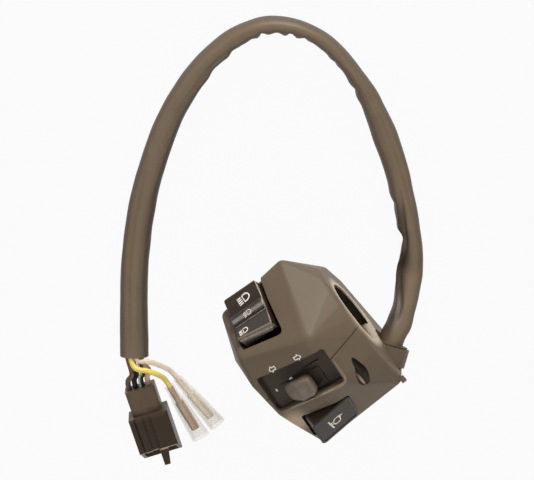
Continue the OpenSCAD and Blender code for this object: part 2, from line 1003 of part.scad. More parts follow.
// Horn switch
module horn_base() {
  color([0.12, 0.12, 0.12])
    at_horn()
      difference() {
        box(
          [horn_base_u0, horn_base_v0, horn_floor_z - horn_base_t],
          [horn_base_u1, horn_base_v1, horn_collar_z]
        );
        box(
          [horn_base_u0 + horn_base_wall, horn_base_v0 + horn_base_wall, horn_floor_z],
          [horn_base_u1 - horn_base_wall, horn_base_v1 - horn_base_wall, horn_collar_z + eps]
        );
      }
}

module horn_contacts() {
  color([0.8, 0.62, 0.3])
    at_horn()
      for (u = horn_contact_u)
        box(
          [u, horn_stem_v - horn_contact_l / 2, horn_floor_z],
          [u + horn_contact_w, horn_stem_v + horn_contact_l / 2, horn_floor_z + horn_contact_t]
        );
}

module horn_button() {
  color([0.08, 0.08, 0.08])
    at_horn() {
      difference() {
        slab(horn_l, horn_w, recess_r, -horn_skirt, horn_h);
        slab(
          horn_l - 2 * horn_wall, horn_w - 2 * horn_wall,
          recess_r, -horn_skirt - eps, horn_h - horn_roof
        );
      }
      translate([0, horn_stem_v, horn_stem_end])
        cylinder(r = horn_stem_r, h = horn_h - horn_roof + eps - horn_stem_end);
    }
}

module horn_disc() {
  color([0.8, 0.62, 0.3])
    at_horn()
      translate([0, horn_stem_v, horn_stem_end - horn_disc_t])
        cylinder(r = horn_disc_r, h = horn_disc_t);
}

module horn_spring() {
  color([0.7, 0.7, 0.7])
    at_horn()
      translate([0, horn_stem_v, horn_floor_z + spring_seat])
        spring(
          horn_spring_r, horn_h - horn_roof - horn_floor_z - 2 * spring_seat, horn_spring_turns
        );
}

// Harness
module outlet_grommet() {
  color([0.1, 0.1, 0.1])
    at_outlet()
      difference() {
        union() {
          translate([0, 0, -boss_in])
            cylinder(r = grommet_r, h = boss_in + boss_out + grommet_lip_t);
          translate([0, 0, boss_out])
            cylinder(r = grommet_lip_r, h = grommet_lip_t);
        }
        translate([0, 0, -boss_in - eps])
          cylinder(r = sleeve_r + clip_gap, h = far);
      }
}

module harness_sleeve() {
  color([0.36, 0.31, 0.26])
    union() {
      tube(sleeve_route, sleeve_r, sleeve_sides);
      translate(sleeve_join)
        rotate([0, 90, sleeve_end_turn])
          difference() {
            cylinder(r = sleeve_r, h = sleeve_end_l);
            translate([0, 0, sleeve_end_l - sleeve_hole_l])
              cylinder(r = sleeve_r - sleeve_wall, h = sleeve_hole_l + eps);
          }
    }
}

module wire(route, c) {
  color(c)
    tube(route, wire_d / 2, wire_sides);
}

module lead(route) {
  color([0.15, 0.15, 0.15])
    tube(route, lead_d / 2, wire_sides);
}

module headlamp_lead() {
  lead(headlamp_lead_route);
}

module indicator_lead() {
  lead(indicator_lead_route);
}

module horn_lead() {
  lead(horn_lead_route);
}

module yellow_wire() {
  wire(yellow_route, [0.9, 0.78, 0.2]);
}

module white_wire() {
  wire(white_route, [0.92, 0.88, 0.84]);
}

module brown_wire() {
  wire(brown_route, [0.4, 0.28, 0.2]);
}

module black_wire() {
  wire(black_route, [0.06, 0.06, 0.06]);
}

module green_wire() {
  wire(green_route, [0.1, 0.3, 0.18]);
}

module pink_wire() {
  wire(pink_route, [0.85, 0.66, 0.6]);
}

module connector_housing() {
  side_x = plug_w / 2;
  rear_y = plug_rear_w / 2;
  color([0.22, 0.19, 0.16])
    at_plug()
      difference() {
        union() {
          rotate([90, 0, 0])
            translate([0, 0, -side_x])
              linear_extrude(plug_w)
                polygon([
                  [-plug_l, 0], [plug_chin, 0], [plug_chin, plug_wall],
                  [0, plug_h - plug_wall], [0, plug_h], [-plug_l, plug_h]
                ]);
          translate([plug_rear_x, 0, plug_rear_lift])
            rotate([90, 0, 90])
              linear_extrude(plug_rear_l + eps)
                polygon([
                  [-rear_y, 0], [rear_y, 0], [rear_y, plug_rear_h - plug_rear_chamfer],
                  [rear_y - plug_rear_chamfer, plug_rear_h],
                  [plug_rear_chamfer - rear_y, plug_rear_h],
                  [-rear_y, plug_rear_h - plug_rear_chamfer]
                ]);
          translate([0, 0, plug_h - plug_wall])
            linear_extrude(plug_wall)
              polygon([
                [-key_root_l, key_y], [key_l, key_y], [key_l, key_y + key_tip_w],
                [0, key_y + key_root_w], [-key_root_l, key_y + key_root_w]
              ]);
        }
        box(
          [-plug_socket_l, -side_x + plug_wall, plug_floor_t],
          [far, side_x - plug_wall, plug_h - plug_wall]
        );
        for (k = [0:len(plug_groove_y) - 1])
          box(
            [-plug_l - eps, plug_groove_y[k], plug_h - plug_groove_d],
            [eps, plug_groove_y[k] + plug_groove_w[k], plug_h + eps]
          );
        for (k = plug_wire_slots)
          translate([plug_rear_x - eps, k * plug_wire_pitch, plug_wire_z])
            rotate([0, 90, 0])
              cylinder(r = wire_hole_r, h = plug_wire_in + eps);
      }
}

module connector_pins() {
  color([0.8, 0.62, 0.3])
    at_plug()
      for (y = plug_pin_y)
        box(
          [-plug_socket_l, y - pin_w / 2, plug_pin_z - pin_t / 2],
          [-plug_socket_l + pin_l, y + pin_w / 2, plug_pin_z + pin_t / 2]
        );
}

module clear_sleeve(pos, turn) {
  color([0.9, 0.9, 0.86, 0.5])
    at_clear(pos, turn)
      rotate_extrude()
        polygon([
          [clear_neck_r - clear_wall, 0], [clear_neck_r, 0],
          [clear_neck_r, clear_neck_l - clear_cone_l],
          [clear_r, clear_neck_l - clear_wall], [clear_r, clear_l], [clear_r - clear_wall, clear_l],
          [clear_r - clear_wall, clear_neck_l], [clear_neck_r - clear_wall, clear_neck_l]
        ]);
}

module terminal(pos, turn) {
  color([0.72, 0.5, 0.3])
    at_clear(pos, turn)
      difference() {
        translate([0, 0, term_start])
          cylinder(r = term_r, h = term_l);
        translate([0, 0, term_start - eps])
          cylinder(r = wire_d / 2 + clip_gap, h = wire_in_term + eps);
        translate([0, 0, term_start + wire_in_term + term_web])
          cylinder(r = term_bore_r, h = term_l);
      }
}

module clear_sleeve_a() {
  clear_sleeve(clip_a_pos, clip_a_turn);
}

module clear_sleeve_b() {
  clear_sleeve(clip_b_pos, clip_b_turn);
}

module terminal_a() {
  terminal(clip_a_pos, clip_a_turn);
}

module terminal_b() {
  terminal(clip_b_pos, clip_b_turn);
}

upper_casing();
lower_casing();
casing_screws();
headlamp_base();
headlamp_contacts();
rocker_pins();
rocker_cap();
rocker_contact();
rocker_plunger();
rocker_spring();
indicator_guide();
indicator_base();
indicator_contacts();
indicator_carriage();
indicator_wiper();
indicator_shutter();
indicator_knob();
knob_spring();
horn_base();
horn_contacts();
horn_button();
horn_disc();
horn_spring();
headlamp_lead();
indicator_lead();
horn_lead();
outlet_grommet();
harness_sleeve();
yellow_wire();
white_wire();
brown_wire();
black_wire();
green_wire();
pink_wire();
connector_housing();
connector_pins();
clear_sleeve_a();
clear_sleeve_b();
terminal_a();
terminal_b();
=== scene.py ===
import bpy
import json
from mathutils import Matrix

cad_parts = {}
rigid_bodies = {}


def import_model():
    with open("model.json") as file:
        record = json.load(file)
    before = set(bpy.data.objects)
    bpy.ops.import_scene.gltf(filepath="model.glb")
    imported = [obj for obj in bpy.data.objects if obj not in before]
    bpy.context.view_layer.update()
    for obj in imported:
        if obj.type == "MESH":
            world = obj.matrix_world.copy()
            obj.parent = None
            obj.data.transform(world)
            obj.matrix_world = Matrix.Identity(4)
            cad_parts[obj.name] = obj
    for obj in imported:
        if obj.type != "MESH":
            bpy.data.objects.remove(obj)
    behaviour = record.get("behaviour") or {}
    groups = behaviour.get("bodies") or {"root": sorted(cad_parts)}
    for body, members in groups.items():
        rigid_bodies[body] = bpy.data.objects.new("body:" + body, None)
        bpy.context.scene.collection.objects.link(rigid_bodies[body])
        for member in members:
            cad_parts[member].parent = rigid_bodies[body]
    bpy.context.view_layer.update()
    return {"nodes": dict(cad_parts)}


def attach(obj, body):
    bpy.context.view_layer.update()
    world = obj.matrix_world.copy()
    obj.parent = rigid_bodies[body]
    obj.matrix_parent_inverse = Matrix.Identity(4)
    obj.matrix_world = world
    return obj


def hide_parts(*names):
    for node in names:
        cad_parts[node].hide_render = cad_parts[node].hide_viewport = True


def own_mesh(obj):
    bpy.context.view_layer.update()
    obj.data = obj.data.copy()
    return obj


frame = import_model()

import json
from math import atan2, copysign, cos, exp, hypot, pi, radians, sin, sqrt

import bpy
from mathutils import Matrix, Vector, noise

MM = 0.001
FLOOR_Z = -21.5
UP = Vector((0, 0, 1))


# Seats of the switches and of the pieces on the table

def at(x, y, z):
    return Matrix.Translation(Vector((x, y, z)) * MM)


def turn(axis, degrees):
    return Matrix.Rotation(radians(degrees), 4, axis)


ROCKER_SEAT = at(-4.3, 23.1, 6.2) @ turn("X", -53) @ turn("Y", -5) @ turn("Z", -9)
INDICATOR_SEAT = at(-4.2, -1.1, 16.3) @ turn("Z", -7.8) @ turn("Y", -12.4)
HORN_SEAT = at(-5.3, -17.8, 13) @ turn("X", 39) @ turn("Y", 10.4) @ turn("Z", -11.3)
PLUG_SEAT = at(-61.2, 0.8, FLOOR_Z) @ turn("Z", -112.5)
CLIP_A_SEAT = at(-45.8, 14, FLOOR_Z + 2.2) @ turn("Z", -100)
CLIP_B_SEAT = at(-42, 14.2, FLOOR_Z + 2.2) @ turn("Z", -91)


# Camera at the photograph's angle

CAMERA_PLACE = (0.1194, 0.2047, 0.6621)
CAMERA_ANGLES = (-16.53, -2.21, -39.52)
CAMERA_LENS = 147.75
CAMERA_SENSOR = 36


def place_camera():
    bpy.ops.object.select_all(action="DESELECT")
    bpy.ops.object.camera_add(
        location=CAMERA_PLACE, rotation=[radians(a) for a in CAMERA_ANGLES],
    )
    camera = bpy.context.active_object
    camera.name = "photo_camera"
    camera.data.sensor_fit = "HORIZONTAL"
    camera.data.sensor_width = CAMERA_SENSOR
    camera.data.lens = CAMERA_LENS
    bpy.context.scene.camera = camera


place_camera()


# Bench tools

# Points closer than this are merged, and faces that meet flatter than this are made one
MERGE = 0.002 * MM
FLAT_ANGLE = radians(0.6)


def clear_selection():
    if bpy.context.mode != "OBJECT":
        leave_edit()
    bpy.ops.object.select_all(action="DESELECT")


def pick(obj):
    clear_selection()
    obj.select_set(True)
    bpy.context.view_layer.objects.active = obj


def enter_edit():
    bpy.ops.object.mode_set(mode="EDIT")


def leave_edit():
    bpy.ops.object.mode_set(mode="OBJECT")


def edit_all(obj):
    """Edit mode with everything selected."""
    pick(obj)
    enter_edit()
    bpy.ops.mesh.select_all(action="SELECT")


def named(name):
    obj = bpy.context.active_object
    obj.name = name
    obj.data.name = name
    return obj


def linked(name, data):
    obj = bpy.data.objects.new(name, data)
    bpy.context.scene.collection.objects.link(obj)
    return obj


def seat(obj, matrix):
    obj.data.transform(matrix)
    obj.data.update()
    return obj


def choose_none(obj, kind):
    pick(obj)
    enter_edit()
    bpy.ops.mesh.select_mode(type=kind)
    bpy.ops.mesh.select_all(action="DESELECT")
    leave_edit()


def choose_faces(obj, test):
    choose_none(obj, "FACE")
    for face in obj.data.polygons:
        face.select = bool(test(face.center / MM, face.normal))
    enter_edit()


def choose_edges(obj, test):
    choose_none(obj, "EDGE")
    points = [v.co / MM for v in obj.data.vertices]
    for edge in obj.data.edges:
        edge.select = bool(test(*[points[i] for i in edge.vertices]))
    enter_edit()


def apply_modifier(obj, kind, **settings):
    pick(obj)
    modifier = obj.modifiers.new(kind.title(), kind)
    for key, value in settings.items():
        setattr(modifier, key, value)
    bpy.ops.object.modifier_apply(modifier=modifier.name)


def soften(obj, width, angle=35):
    apply_modifier(
        obj, "BEVEL", width=width * MM, segments=2, limit_method="ANGLE",
        angle_limit=radians(angle), use_clamp_overlap=True, miter_outer="MITER_ARC",
    )


def smooth_shade(obj, angle):
    pick(obj)
    bpy.ops.object.shade_smooth_by_angle(angle=radians(angle))


def smooth(obj, angle=32):
    smooth_shade(obj, angle)
    apply_modifier(obj, "WEIGHTED_NORMAL", keep_sharp=True, weight=80)


def recalculate(obj):
    edit_all(obj)
    bpy.ops.mesh.remove_doubles(threshold=MERGE)
    bpy.ops.mesh.normals_make_consistent(inside=False)
    leave_edit()


def prism(name, outline, height):
    """A flat outline in millimetres drawn up along Z."""
    clear_selection()
    bpy.ops.mesh.primitive_circle_add(vertices=len(outline), radius=MM, fill_type="NGON")
    obj = named(name)
    for vertex, (x, y) in zip(obj.data.vertices, outline):
        vertex.co = (x * MM, y * MM, 0)
    edit_all(obj)
    bpy.ops.mesh.extrude_region_move(TRANSFORM_OT_translate={"value": (0, 0, height * MM)})
    leave_edit()
    recalculate(obj)
    return obj


def block(name, low, high):
    clear_selection()
    bpy.ops.mesh.primitive_cube_add(size=1)
    obj = named(name)
    size = [(b - a) * MM for a, b in zip(low, high)]
    middle = [(a + b) / 2 * MM for a, b in zip(low, high)]
    return seat(obj, Matrix.Translation(middle) @ Matrix.Diagonal((*size, 1)))


def join(main, other):
    pick(main)
    other.select_set(True)
    bpy.ops.object.join()
    return main


def node_copy(node, name):
    """A merged copy of a CAD node with its flat faces made whole."""
    pick(frame["nodes"][node])
    bpy.ops.object.duplicate()
    obj = named(name)
    bpy.ops.object.parent_clear(type="CLEAR_KEEP_TRANSFORM")
    for key in list(obj.keys()):
        del obj[key]
    obj.data.materials.clear()
    pick(obj)
    bpy.ops.mesh.customdata_custom_splitnormals_clear()
    edit_all(obj)
    bpy.ops.mesh.remove_doubles(threshold=MERGE)
    bpy.ops.mesh.dissolve_limited(angle_limit=FLAT_ANGLE)
    leave_edit()
    return obj


def lofted(name, rings, loop=False, wrap=None):
    """A skin over rings of points in millimetres, closed by end faces or round on itself.

    With wrap, the share of the length at each ring, the skin also gets a UV map.
    """
    sides = len(rings[0])
    verts = [Vector(p) * MM for ring in rings for p in ring]
    starts = [i * sides for i in range(len(rings))]
    pairs = list(zip(starts, starts[1:]))
    ends = []
    if loop:
        pairs.append((starts[-1], starts[0]))
    else:
        ends = [tuple(range(sides)), tuple(range(starts[-1], starts[-1] + sides))]
    faces = [
        (a + k, a + (k + 1) % sides, b + (k + 1) % sides, b + k)
        for a, b in pairs for k in range(sides)
    ]
    mesh = bpy.data.meshes.new(name)
    mesh.from_pydata(verts, [], faces + ends)
    mesh.update()
    if wrap:
        places = mesh.uv_layers.new(name="wrap").data
        for corner in mesh.loops:
            row, side = divmod(corner.vertex_index, sides)
            places[corner.index].uv = (side / sides, wrap[row])
    obj = linked(name, mesh)
    recalculate(obj)
    return obj


def bead(name, lines, width, roundness):
    """A round bead along lines of points in metres, each (points, closed)."""
    curve = bpy.data.curves.new(name, "CURVE")
    curve.dimensions = "3D"
    curve.bevel_depth = width / 2 * MM
    curve.bevel_resolution = roundness
    curve.use_fill_caps = True
    for points, closed in lines:
        line = curve.splines.new("POLY")
        line.points.add(len(points) - 1)
        for point, place in zip(line.points, points):
            point.co = (*place, 1)
        line.use_cyclic_u = closed
    return linked(name, curve)


def turned_to_mesh(obj):
    pick(obj)
    bpy.ops.object.convert(target="MESH")
    return named(obj.name)


def arc(cx, cy, rx, ry, start, finish, count=14):
    turns = [radians(start + (finish - start) * k / count) for k in range(count + 1)]
    return [(cx + rx * cos(a), cy + ry * sin(a)) for a in turns]


def circle(sides):
    """The cosine and sine at each corner of a ring."""
    turns = [2 * pi * k / sides for k in range(sides)]
    return [(cos(a), sin(a)) for a in turns]


def squared(c, d, power):
    """How far a ring reaches where it is squarer than a circle, which has power 2."""
    return 1 / (abs(c) ** power + abs(d) ** power) ** (1 / power)


def share(value):
    return min(1, max(0, value))


def fit(obj, body, slot, material, *nodes):
    """Paints a finished piece, seats it on its body and takes the nodes' place."""
    obj.data.materials.clear()
    obj.data.materials.append(material)
    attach(obj, body)
    if nodes:
        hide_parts(*nodes)
    return obj


# Node tools for the finishes

VECTOR_MATH = "VectorMath"


def tint(code):
    """A hex colour as linear light."""
    parts = [int(code[i:i + 2], 16) / 255 for i in (0, 2, 4)]
    light = [p / 12.92 if p <= 0.04045 else ((p + 0.055) / 1.055) ** 2.4 for p in parts]
    return (*light, 1)


def feed(socket, value):
    """Links a socket to another one, or gives it a plain value."""
    if isinstance(value, bpy.types.NodeSocket):
        socket.id_data.links.new(value, socket)
    else:
        socket.default_value = value


def set_inputs(made, **inputs):
    for key, value in inputs.items():
        feed(made.inputs[key.replace("_", " ")], value)


def add_node(tree, kind, family="ShaderNode", **inputs):
    """A new node, set out in rows of eight."""
    row, column = divmod(len(tree.nodes), 8)
    made = tree.nodes.new(family + kind)
    made.location = (column * 220, row * -260)
    set_inputs(made, **inputs)
    return made


def calculate(tree, operation, *values, kind="Math"):
    """A sum on sockets and plain values."""
    made = add_node(tree, kind)
    made.operation = operation
    for socket, value in zip(made.inputs, values):
        feed(socket, value)
    return made.outputs["Value"]


def fade(tree, value, low, high, first=0, last=1, soft=False):
    """A value that goes from first to last while another one goes from low to high."""
    made = add_node(tree, "MapRange", Value=value, From_Min=low, From_Max=high,
                    To_Min=first, To_Max=last)
    if soft:
        made.interpolation_type = "SMOOTHSTEP"
    return made.outputs["Result"]


def axes(tree, vector):
    return add_node(tree, "SeparateXYZ", Vector=vector).outputs


def own_place(tree):
    return add_node(tree, "TexCoord").outputs["Object"]


def place_from(tree, **seating):
    """The place on the piece as seen from another seat."""
    mapping = add_node(tree, "Mapping", Vector=own_place(tree), **seating)
    mapping.vector_type = "TEXTURE"
    return mapping.outputs["Vector"]


def colour_mix(tree, mask, under, over):
    blend = add_node(tree, "Mix")
    blend.data_type = "RGBA"
    set_inputs(blend, Factor=mask, A=under, B=over)
    return blend.outputs["Result"]


def principled(material):
    return material.node_tree.nodes["Principled BSDF"]


def lay_over(material, colour, mask):
    """Lays another tone over a finish where the mask is 1."""
    base = principled(material).inputs["Base Color"]
    under = base.links[0].from_socket
    feed(base, colour_mix(material.node_tree, mask, under, tint(colour)))


# Finishes

def moulded_grain_group():
    """Spark-eroded grain of moulded plastic with faint flow patches."""
    group = bpy.data.node_groups.new("moulded_grain", "ShaderNodeTree")
    for way, kind, names in (
        ("INPUT", "NodeSocketColor", ("Colour", "Shade")),
        ("INPUT", "NodeSocketFloat", ("Grain scale", "Patch scale", "Smooth", "Rough")),
        ("OUTPUT", "NodeSocketColor", ("Colour",)),
        ("OUTPUT", "NodeSocketFloat", ("Roughness", "Height")),
    ):
        for name in names:
            group.interface.new_socket(name, in_out=way, socket_type=kind)
    given = add_node(group, "GroupInput", "Node").outputs
    place = own_place(group)

    def speckle(scale, detail, roughness):
        return add_node(group, "TexNoise", Vector=place, Scale=given[scale],
                        Detail=detail, Roughness=roughness).outputs["Fac"]

    grain = speckle("Grain scale", 5.0, 0.65)
    patch = speckle("Patch scale", 3.0, 0.5)
    cloud = calculate(group, "MULTIPLY_ADD", patch, 0.7, -0.1)
    fleck = calculate(group, "MULTIPLY_ADD", grain, 0.5, cloud)
    fleck.node.use_clamp = True
    add_node(group, "GroupOutput", "Node", Height=grain,
             Colour=colour_mix(group, fleck, given["Colour"], given["Shade"]),
             Roughness=fade(group, grain, 0, 1, given["Smooth"], given["Rough"]))
    return group


GRAIN = moulded_grain_group()


def moulded(name, colour, shade, grain=2500.0, patch=90.0, polish=(0.4, 0.6),
            depth=0.02, strength=0.5, specular=0.5, metallic=0):
    """A moulded or drawn finish: colour patches, uneven polish and fine bump."""
    material = bpy.data.materials.new(name)
    material.use_nodes = True
    tree = material.node_tree
    skin = add_node(tree, "Group")
    skin.node_tree = GRAIN
    set_inputs(skin, Colour=tint(colour), Shade=tint(shade), Grain_scale=grain,
               Patch_scale=patch, Smooth=polish[0], Rough=polish[1])
    made = skin.outputs
    bump = add_node(tree, "Bump", Strength=strength, Distance=depth * MM,
                    Height=made["Height"])
    set_inputs(principled(material), Base_Color=made["Colour"], Roughness=made["Roughness"],
               Normal=bump.outputs["Normal"], Specular_IOR_Level=specular, Metallic=metallic)
    return material


def metal(name, colour, shade, **values):
    return moulded(name, colour, shade, metallic=1, **values)


def clear_soft_vinyl(name, colour, shade, low, high):
    """Milky see-through vinyl, cloudier in patches."""
    material = moulded(name, colour, shade, grain=900.0, patch=160.0,
                       polish=(0.22, 0.34), depth=0.03, strength=0.3)
    tree = material.node_tree
    skin = next(n for n in tree.nodes if n.type == "GROUP")
    cloud = fade(tree, skin.outputs["Height"], 0, 1, low, high)
    set_inputs(principled(material), Alpha=cloud)
    return material


def painted_edge_shade(material, colour, blend):
    """Paints shade in a darker tone where the surface turns away from the view."""
    facing = add_node(material.node_tree, "LayerWeight", Blend=blend)
    lay_over(material, colour, facing.outputs["Facing"])


# Share of the way round the sleeve where the painted shade on its folded flank begins and is full
FLANK_ROUND = (0.25, 0.37)
# Share of the way along the sleeve, and how dark the painted shade on its folded flank is there
FLANK_SHADE = (
    (0.02, 0.0), (0.035, 0.75), (0.06, 0.75), (0.08, 0.2), (0.1, 0.85), (0.145, 0.8),
    (0.162, 0.1), (0.18, 0.85), (0.21, 0.7), (0.235, 0.0), (0.56, 0.0), (0.66, 0.5), (1.0, 0.55),
)


def painted_fold_shade(material, colour):
    """Paints shade on the flank of the sleeve that is folded in."""
    tree = material.node_tree
    wrap = add_node(tree, "UVMap")
    wrap.uv_map = "wrap"
    place = axes(tree, wrap.outputs["UV"])
    flank = fade(tree, place["X"], *FLANK_ROUND, soft=True)
    ramp = add_node(tree, "ValToRGB", Fac=place["Y"])
    ramp.color_ramp.interpolation = "B_SPLINE"
    stops = ramp.color_ramp.elements
    while len(stops) < len(FLANK_SHADE):
        stops.new(0.5)
    for stop, (position, dark) in zip(stops, FLANK_SHADE):
        stop.position = position
        stop.color = (dark, dark, dark, 1)
    lay_over(material, colour, calculate(tree, "MULTIPLY", flank, ramp.outputs["Color"]))


def parting_line(material, colour, half_width):
    """The dark line where the two mouldings meet at y = 0."""
    tree = material.node_tree
    y = axes(tree, own_place(tree))["Y"]
    lay_over(material, colour, calculate(tree, "COMPARE", y, 0, half_width * MM))


# Where the painted light at the clamp's right mouth begins and ends, outward and along the bar
LIT_MOUTH_RADIUS = (10.9 * MM, 14.6 * MM)
LIT_MOUTH_X = (17.4 * MM, 19.6 * MM)


def painted_lit_mouth(material, colour):
    """Paints light pale on the clamp's right mouth, most of all on the wall of the bore."""
    tree = material.node_tree
    place = axes(tree, own_place(tree))
    across = add_node(tree, "CombineXYZ", Y=place["Y"], Z=place["Z"])
    radius = calculate(tree, "LENGTH", across.outputs["Vector"], kind=VECTOR_MATH)
    near = fade(tree, radius, *LIT_MOUTH_RADIUS, 1, 0, soft=True)
    mouth = fade(tree, place["X"], *LIT_MOUTH_X, soft=True)
    lay_over(material, colour, calculate(tree, "MULTIPLY", near, mouth))


def painted_light_spot(material, colour, centre, stretch, inner, outer):
    """Paints a tone of light or of shade round a place, full within the inner distance and gone at
    the outer one.
    """
    tree = material.node_tree
    place = place_from(tree, Location=Vector(centre) * MM, Scale=stretch)
    distance = calculate(tree, "LENGTH", place, kind=VECTOR_MATH)
    lay_over(material, colour, fade(tree, distance, inner * MM, outer * MM, 1, 0, soft=True))


def seat_place(tree, matrix):
    return place_from(tree, Location=matrix.to_translation(), Rotation=matrix.to_euler())


# Where the painted shade on the connector's front begins and is full, half the width of the
# painted highlight on its lip, and where the painted shade on its side begins and is full
PLUG_FRONT_X = (-15 * MM, -11 * MM)
PLUG_LIP = 0.3 * MM
PLUG_SIDE_Y = (6.2 * MM, 6.5 * MM)


def plug_painted_light(material, front, lip, side):
    """Paints shade on the connector's nylon toward its mouth and on its side, and a pale highlight
    on its lip.
    """
    tree = material.node_tree
    place = axes(tree, seat_place(tree, PLUG_SEAT))
    lay_over(material, front, fade(tree, place["X"], *PLUG_FRONT_X))
    lay_over(material, lip, calculate(tree, "COMPARE", place["X"], 0, PLUG_LIP))
    lay_over(material, side, fade(tree, place["Y"], *PLUG_SIDE_Y))


# Where the painted highlight begins and is full on the rocker: across, in height, and down its
# slanting foot
HIGHLIGHT_EDGE = (5.95 * MM, 6.2 * MM)
HIGHLIGHT_TOP = (1.3 * MM, 1.6 * MM)
HIGHLIGHT_FOOT = (-7.5 * MM, -7.85 * MM)
FOOT_SLANT = (0.145, 1, 0)


def painted_highlight_rocker(material, edge_colour, foot_colour):
    """Paints highlights on the rocker's right edge and on the lip at its slanting foot."""
    tree = material.node_tree
    seated = seat_place(tree, ROCKER_SEAT)
    place = axes(tree, seated)
    edge = fade(tree, place["X"], *HIGHLIGHT_EDGE)
    top = fade(tree, place["Z"], *HIGHLIGHT_TOP)
    down = calculate(tree, "DOT_PRODUCT", seated, FOOT_SLANT, kind=VECTOR_MATH)
    lay_over(material, edge_colour, calculate(tree, "MULTIPLY", edge, top))
    lay_over(material, foot_colour, fade(tree, down, *HIGHLIGHT_FOOT))


# Share of the way round the wire where its tracer line runs, and half its width
TRACER = (0.3, 0.09)


def tracer_line(material, colour):
    """A line along a wire, on the wire's own UV map."""
    tree = material.node_tree
    wrap = add_node(tree, "TexCoord").outputs["UV"]
    lay_over(material, colour, calculate(tree, "COMPARE", axes(tree, wrap)["Y"], *TRACER))


def wire_vinyl(name, colour, shade, **values):
    return moulded(name, colour, shade, polish=(0.3, 0.45), **values)


def shiny_black(name):
    return moulded(name, "382e23", "2a221a", grain=3200.0, patch=120.0,
                   polish=(0.2, 0.34), depth=0.006, strength=0.4)


CASING = moulded("casing_taupe", "706253", "625546", grain=2600.0, patch=70.0,
                 polish=(0.44, 0.62), depth=0.03, strength=0.45, specular=0.35)
parting_line(CASING, "17120e", 0.16)
# Painted light on the clamp's right mouth and the wall of its bore
painted_lit_mouth(CASING, "d8cab6")
# Painted shade in the two screw pockets, a painted highlight on the lit edge of the one in front,
# and painted light on the chin below the recess
for pocket in ((11.4, -13, 16.8), (-3, -13, -16.2)):
    painted_light_spot(CASING, "2e241b", pocket, (1, 10, 1), 2.38, 2.5)
painted_light_spot(CASING, "b5a391", (9.9, -13.4, 15), (1, 4.5, 1), 0.25, 0.75)
painted_light_spot(CASING, "b3a08a", (-14.6, -12, 15.2), (1, 1, 1), 1, 7)
# The bead's finish is glossier than the casing's, and its paler colour is a painted highlight
POLISHED_WITH_HIGHLIGHT = moulded("casing_polished_painted_highlight", "85786a", "756857", polish=(0.14, 0.26))
BUTTON = shiny_black("button_black")
ROCKER = shiny_black("rocker_black")
# Painted highlights on the rocker's right edge and the lip at its foot
painted_highlight_rocker(ROCKER, "8f8577", "6b6155")
KNOB = moulded("knob_grey", "8b7e71", "50463f", grain=1500.0, patch=500.0,
               polish=(0.34, 0.6), depth=0.16, strength=0.9)
SWITCH = moulded("switch_black", "3d3328", "2d251c", grain=2600.0,
                 polish=(0.4, 0.56), depth=0.015, specular=0.35)
PHENOLIC = moulded("phenolic_board", "8a5a34", "6d4526", grain=900.0, patch=200.0)
ACETAL = moulded("acetal_cream", "e6e0d0", "d5cdb8", polish=(0.25, 0.4))
GROMMET = moulded("grommet_rubber", "574a3d", "483d32", polish=(0.5, 0.7))
SLEEVE = moulded("sleeve_taupe", "857462", "706151", grain=700.0, patch=60.0,
                 polish=(0.4, 0.55), depth=0.05, strength=0.35, specular=0.3)
# Painted shade along the sleeve's edges, where it turns away
painted_edge_shade(SLEEVE, "33291f", 0.42)
# Painted shade on the sleeve's folded-in flank
painted_fold_shade(SLEEVE, "2e251d")
LEAD = moulded("lead_black", "211d19", "15120f", polish=(0.35, 0.5))
YELLOW = wire_vinyl("wire_yellow", "f4e37e", "e9d35f")
WHITE_WIRE = wire_vinyl("wire_white", "eadfd2", "d8cabb")
BROWN = wire_vinyl("wire_brown", "6f5644", "574233")
BLACK = wire_vinyl("wire_black", "231d18", "16120e")
GREEN = wire_vinyl("wire_green", "16402c", "0f3021", grain=1800.0)
tracer_line(GREEN, "ded8cb")
PINK = wire_vinyl("wire_pink", "d8b3a0", "c69d89")
CONNECTOR = moulded("connector_brown", "6a5a4a", "554739", grain=1800.0, patch=140.0,
                    polish=(0.3, 0.45), depth=0.02, specular=0.22)
# Painted shade on the connector's front and side, and a painted highlight on its lip
plug_painted_light(CONNECTOR, "3a3026", "a39380", "2b231c")
CLEAR = clear_soft_vinyl("clear_vinyl", "f6f1e8", "ece4d6", 0.1, 0.22)
MILKY = clear_soft_vinyl("milky_vinyl", "faf6ea", "f2ead8", 0.17, 0.27)
INK = moulded("symbol_white", "fbf8f2", "f0ebe2", grain=2200.0, polish=(0.4, 0.6))
BRASS = metal("contact_brass", "d8b16a", "b98f4c", grain=1400.0, polish=(0.25, 0.42))
COPPER = metal("terminal_copper", "c79a72", "a97b55", grain=900.0, patch=300.0,
               polish=(0.35, 0.55))
TIN = metal("terminal_tin", "f2ece0", "e2dacb", grain=900.0, patch=300.0,
            polish=(0.45, 0.65))
STEEL = metal("screw_steel", "b9b5ad", "98948c", grain=1800.0, polish=(0.28, 0.45))
SPRING = metal("spring_steel", "a6a39c", "84817b", grain=2600.0, polish=(0.25, 0.4))


# Harness sleeve: a soft vinyl tube that lies flat here and on edge there

def spline(points, step):
    """Points on a smooth line through the given ones, about a step apart."""
    knots = [Vector(p) for p in points]
    knots = [2 * knots[0] - knots[1]] + knots + [2 * knots[-1] - knots[-2]]
    line = []
    for a, b, c, d in zip(knots, knots[1:], knots[2:], knots[3:]):
        count = max(2, round((c - b).length / step))
        for k in range(count):
            t = k / count
            line.append(0.5 * (
                2 * b + (c - a) * t + (2 * a - 5 * b + 4 * c - d) * t ** 2
                + (3 * b - a - 3 * c + d) * t ** 3
            ))
    line.append(knots[-2])
    return line


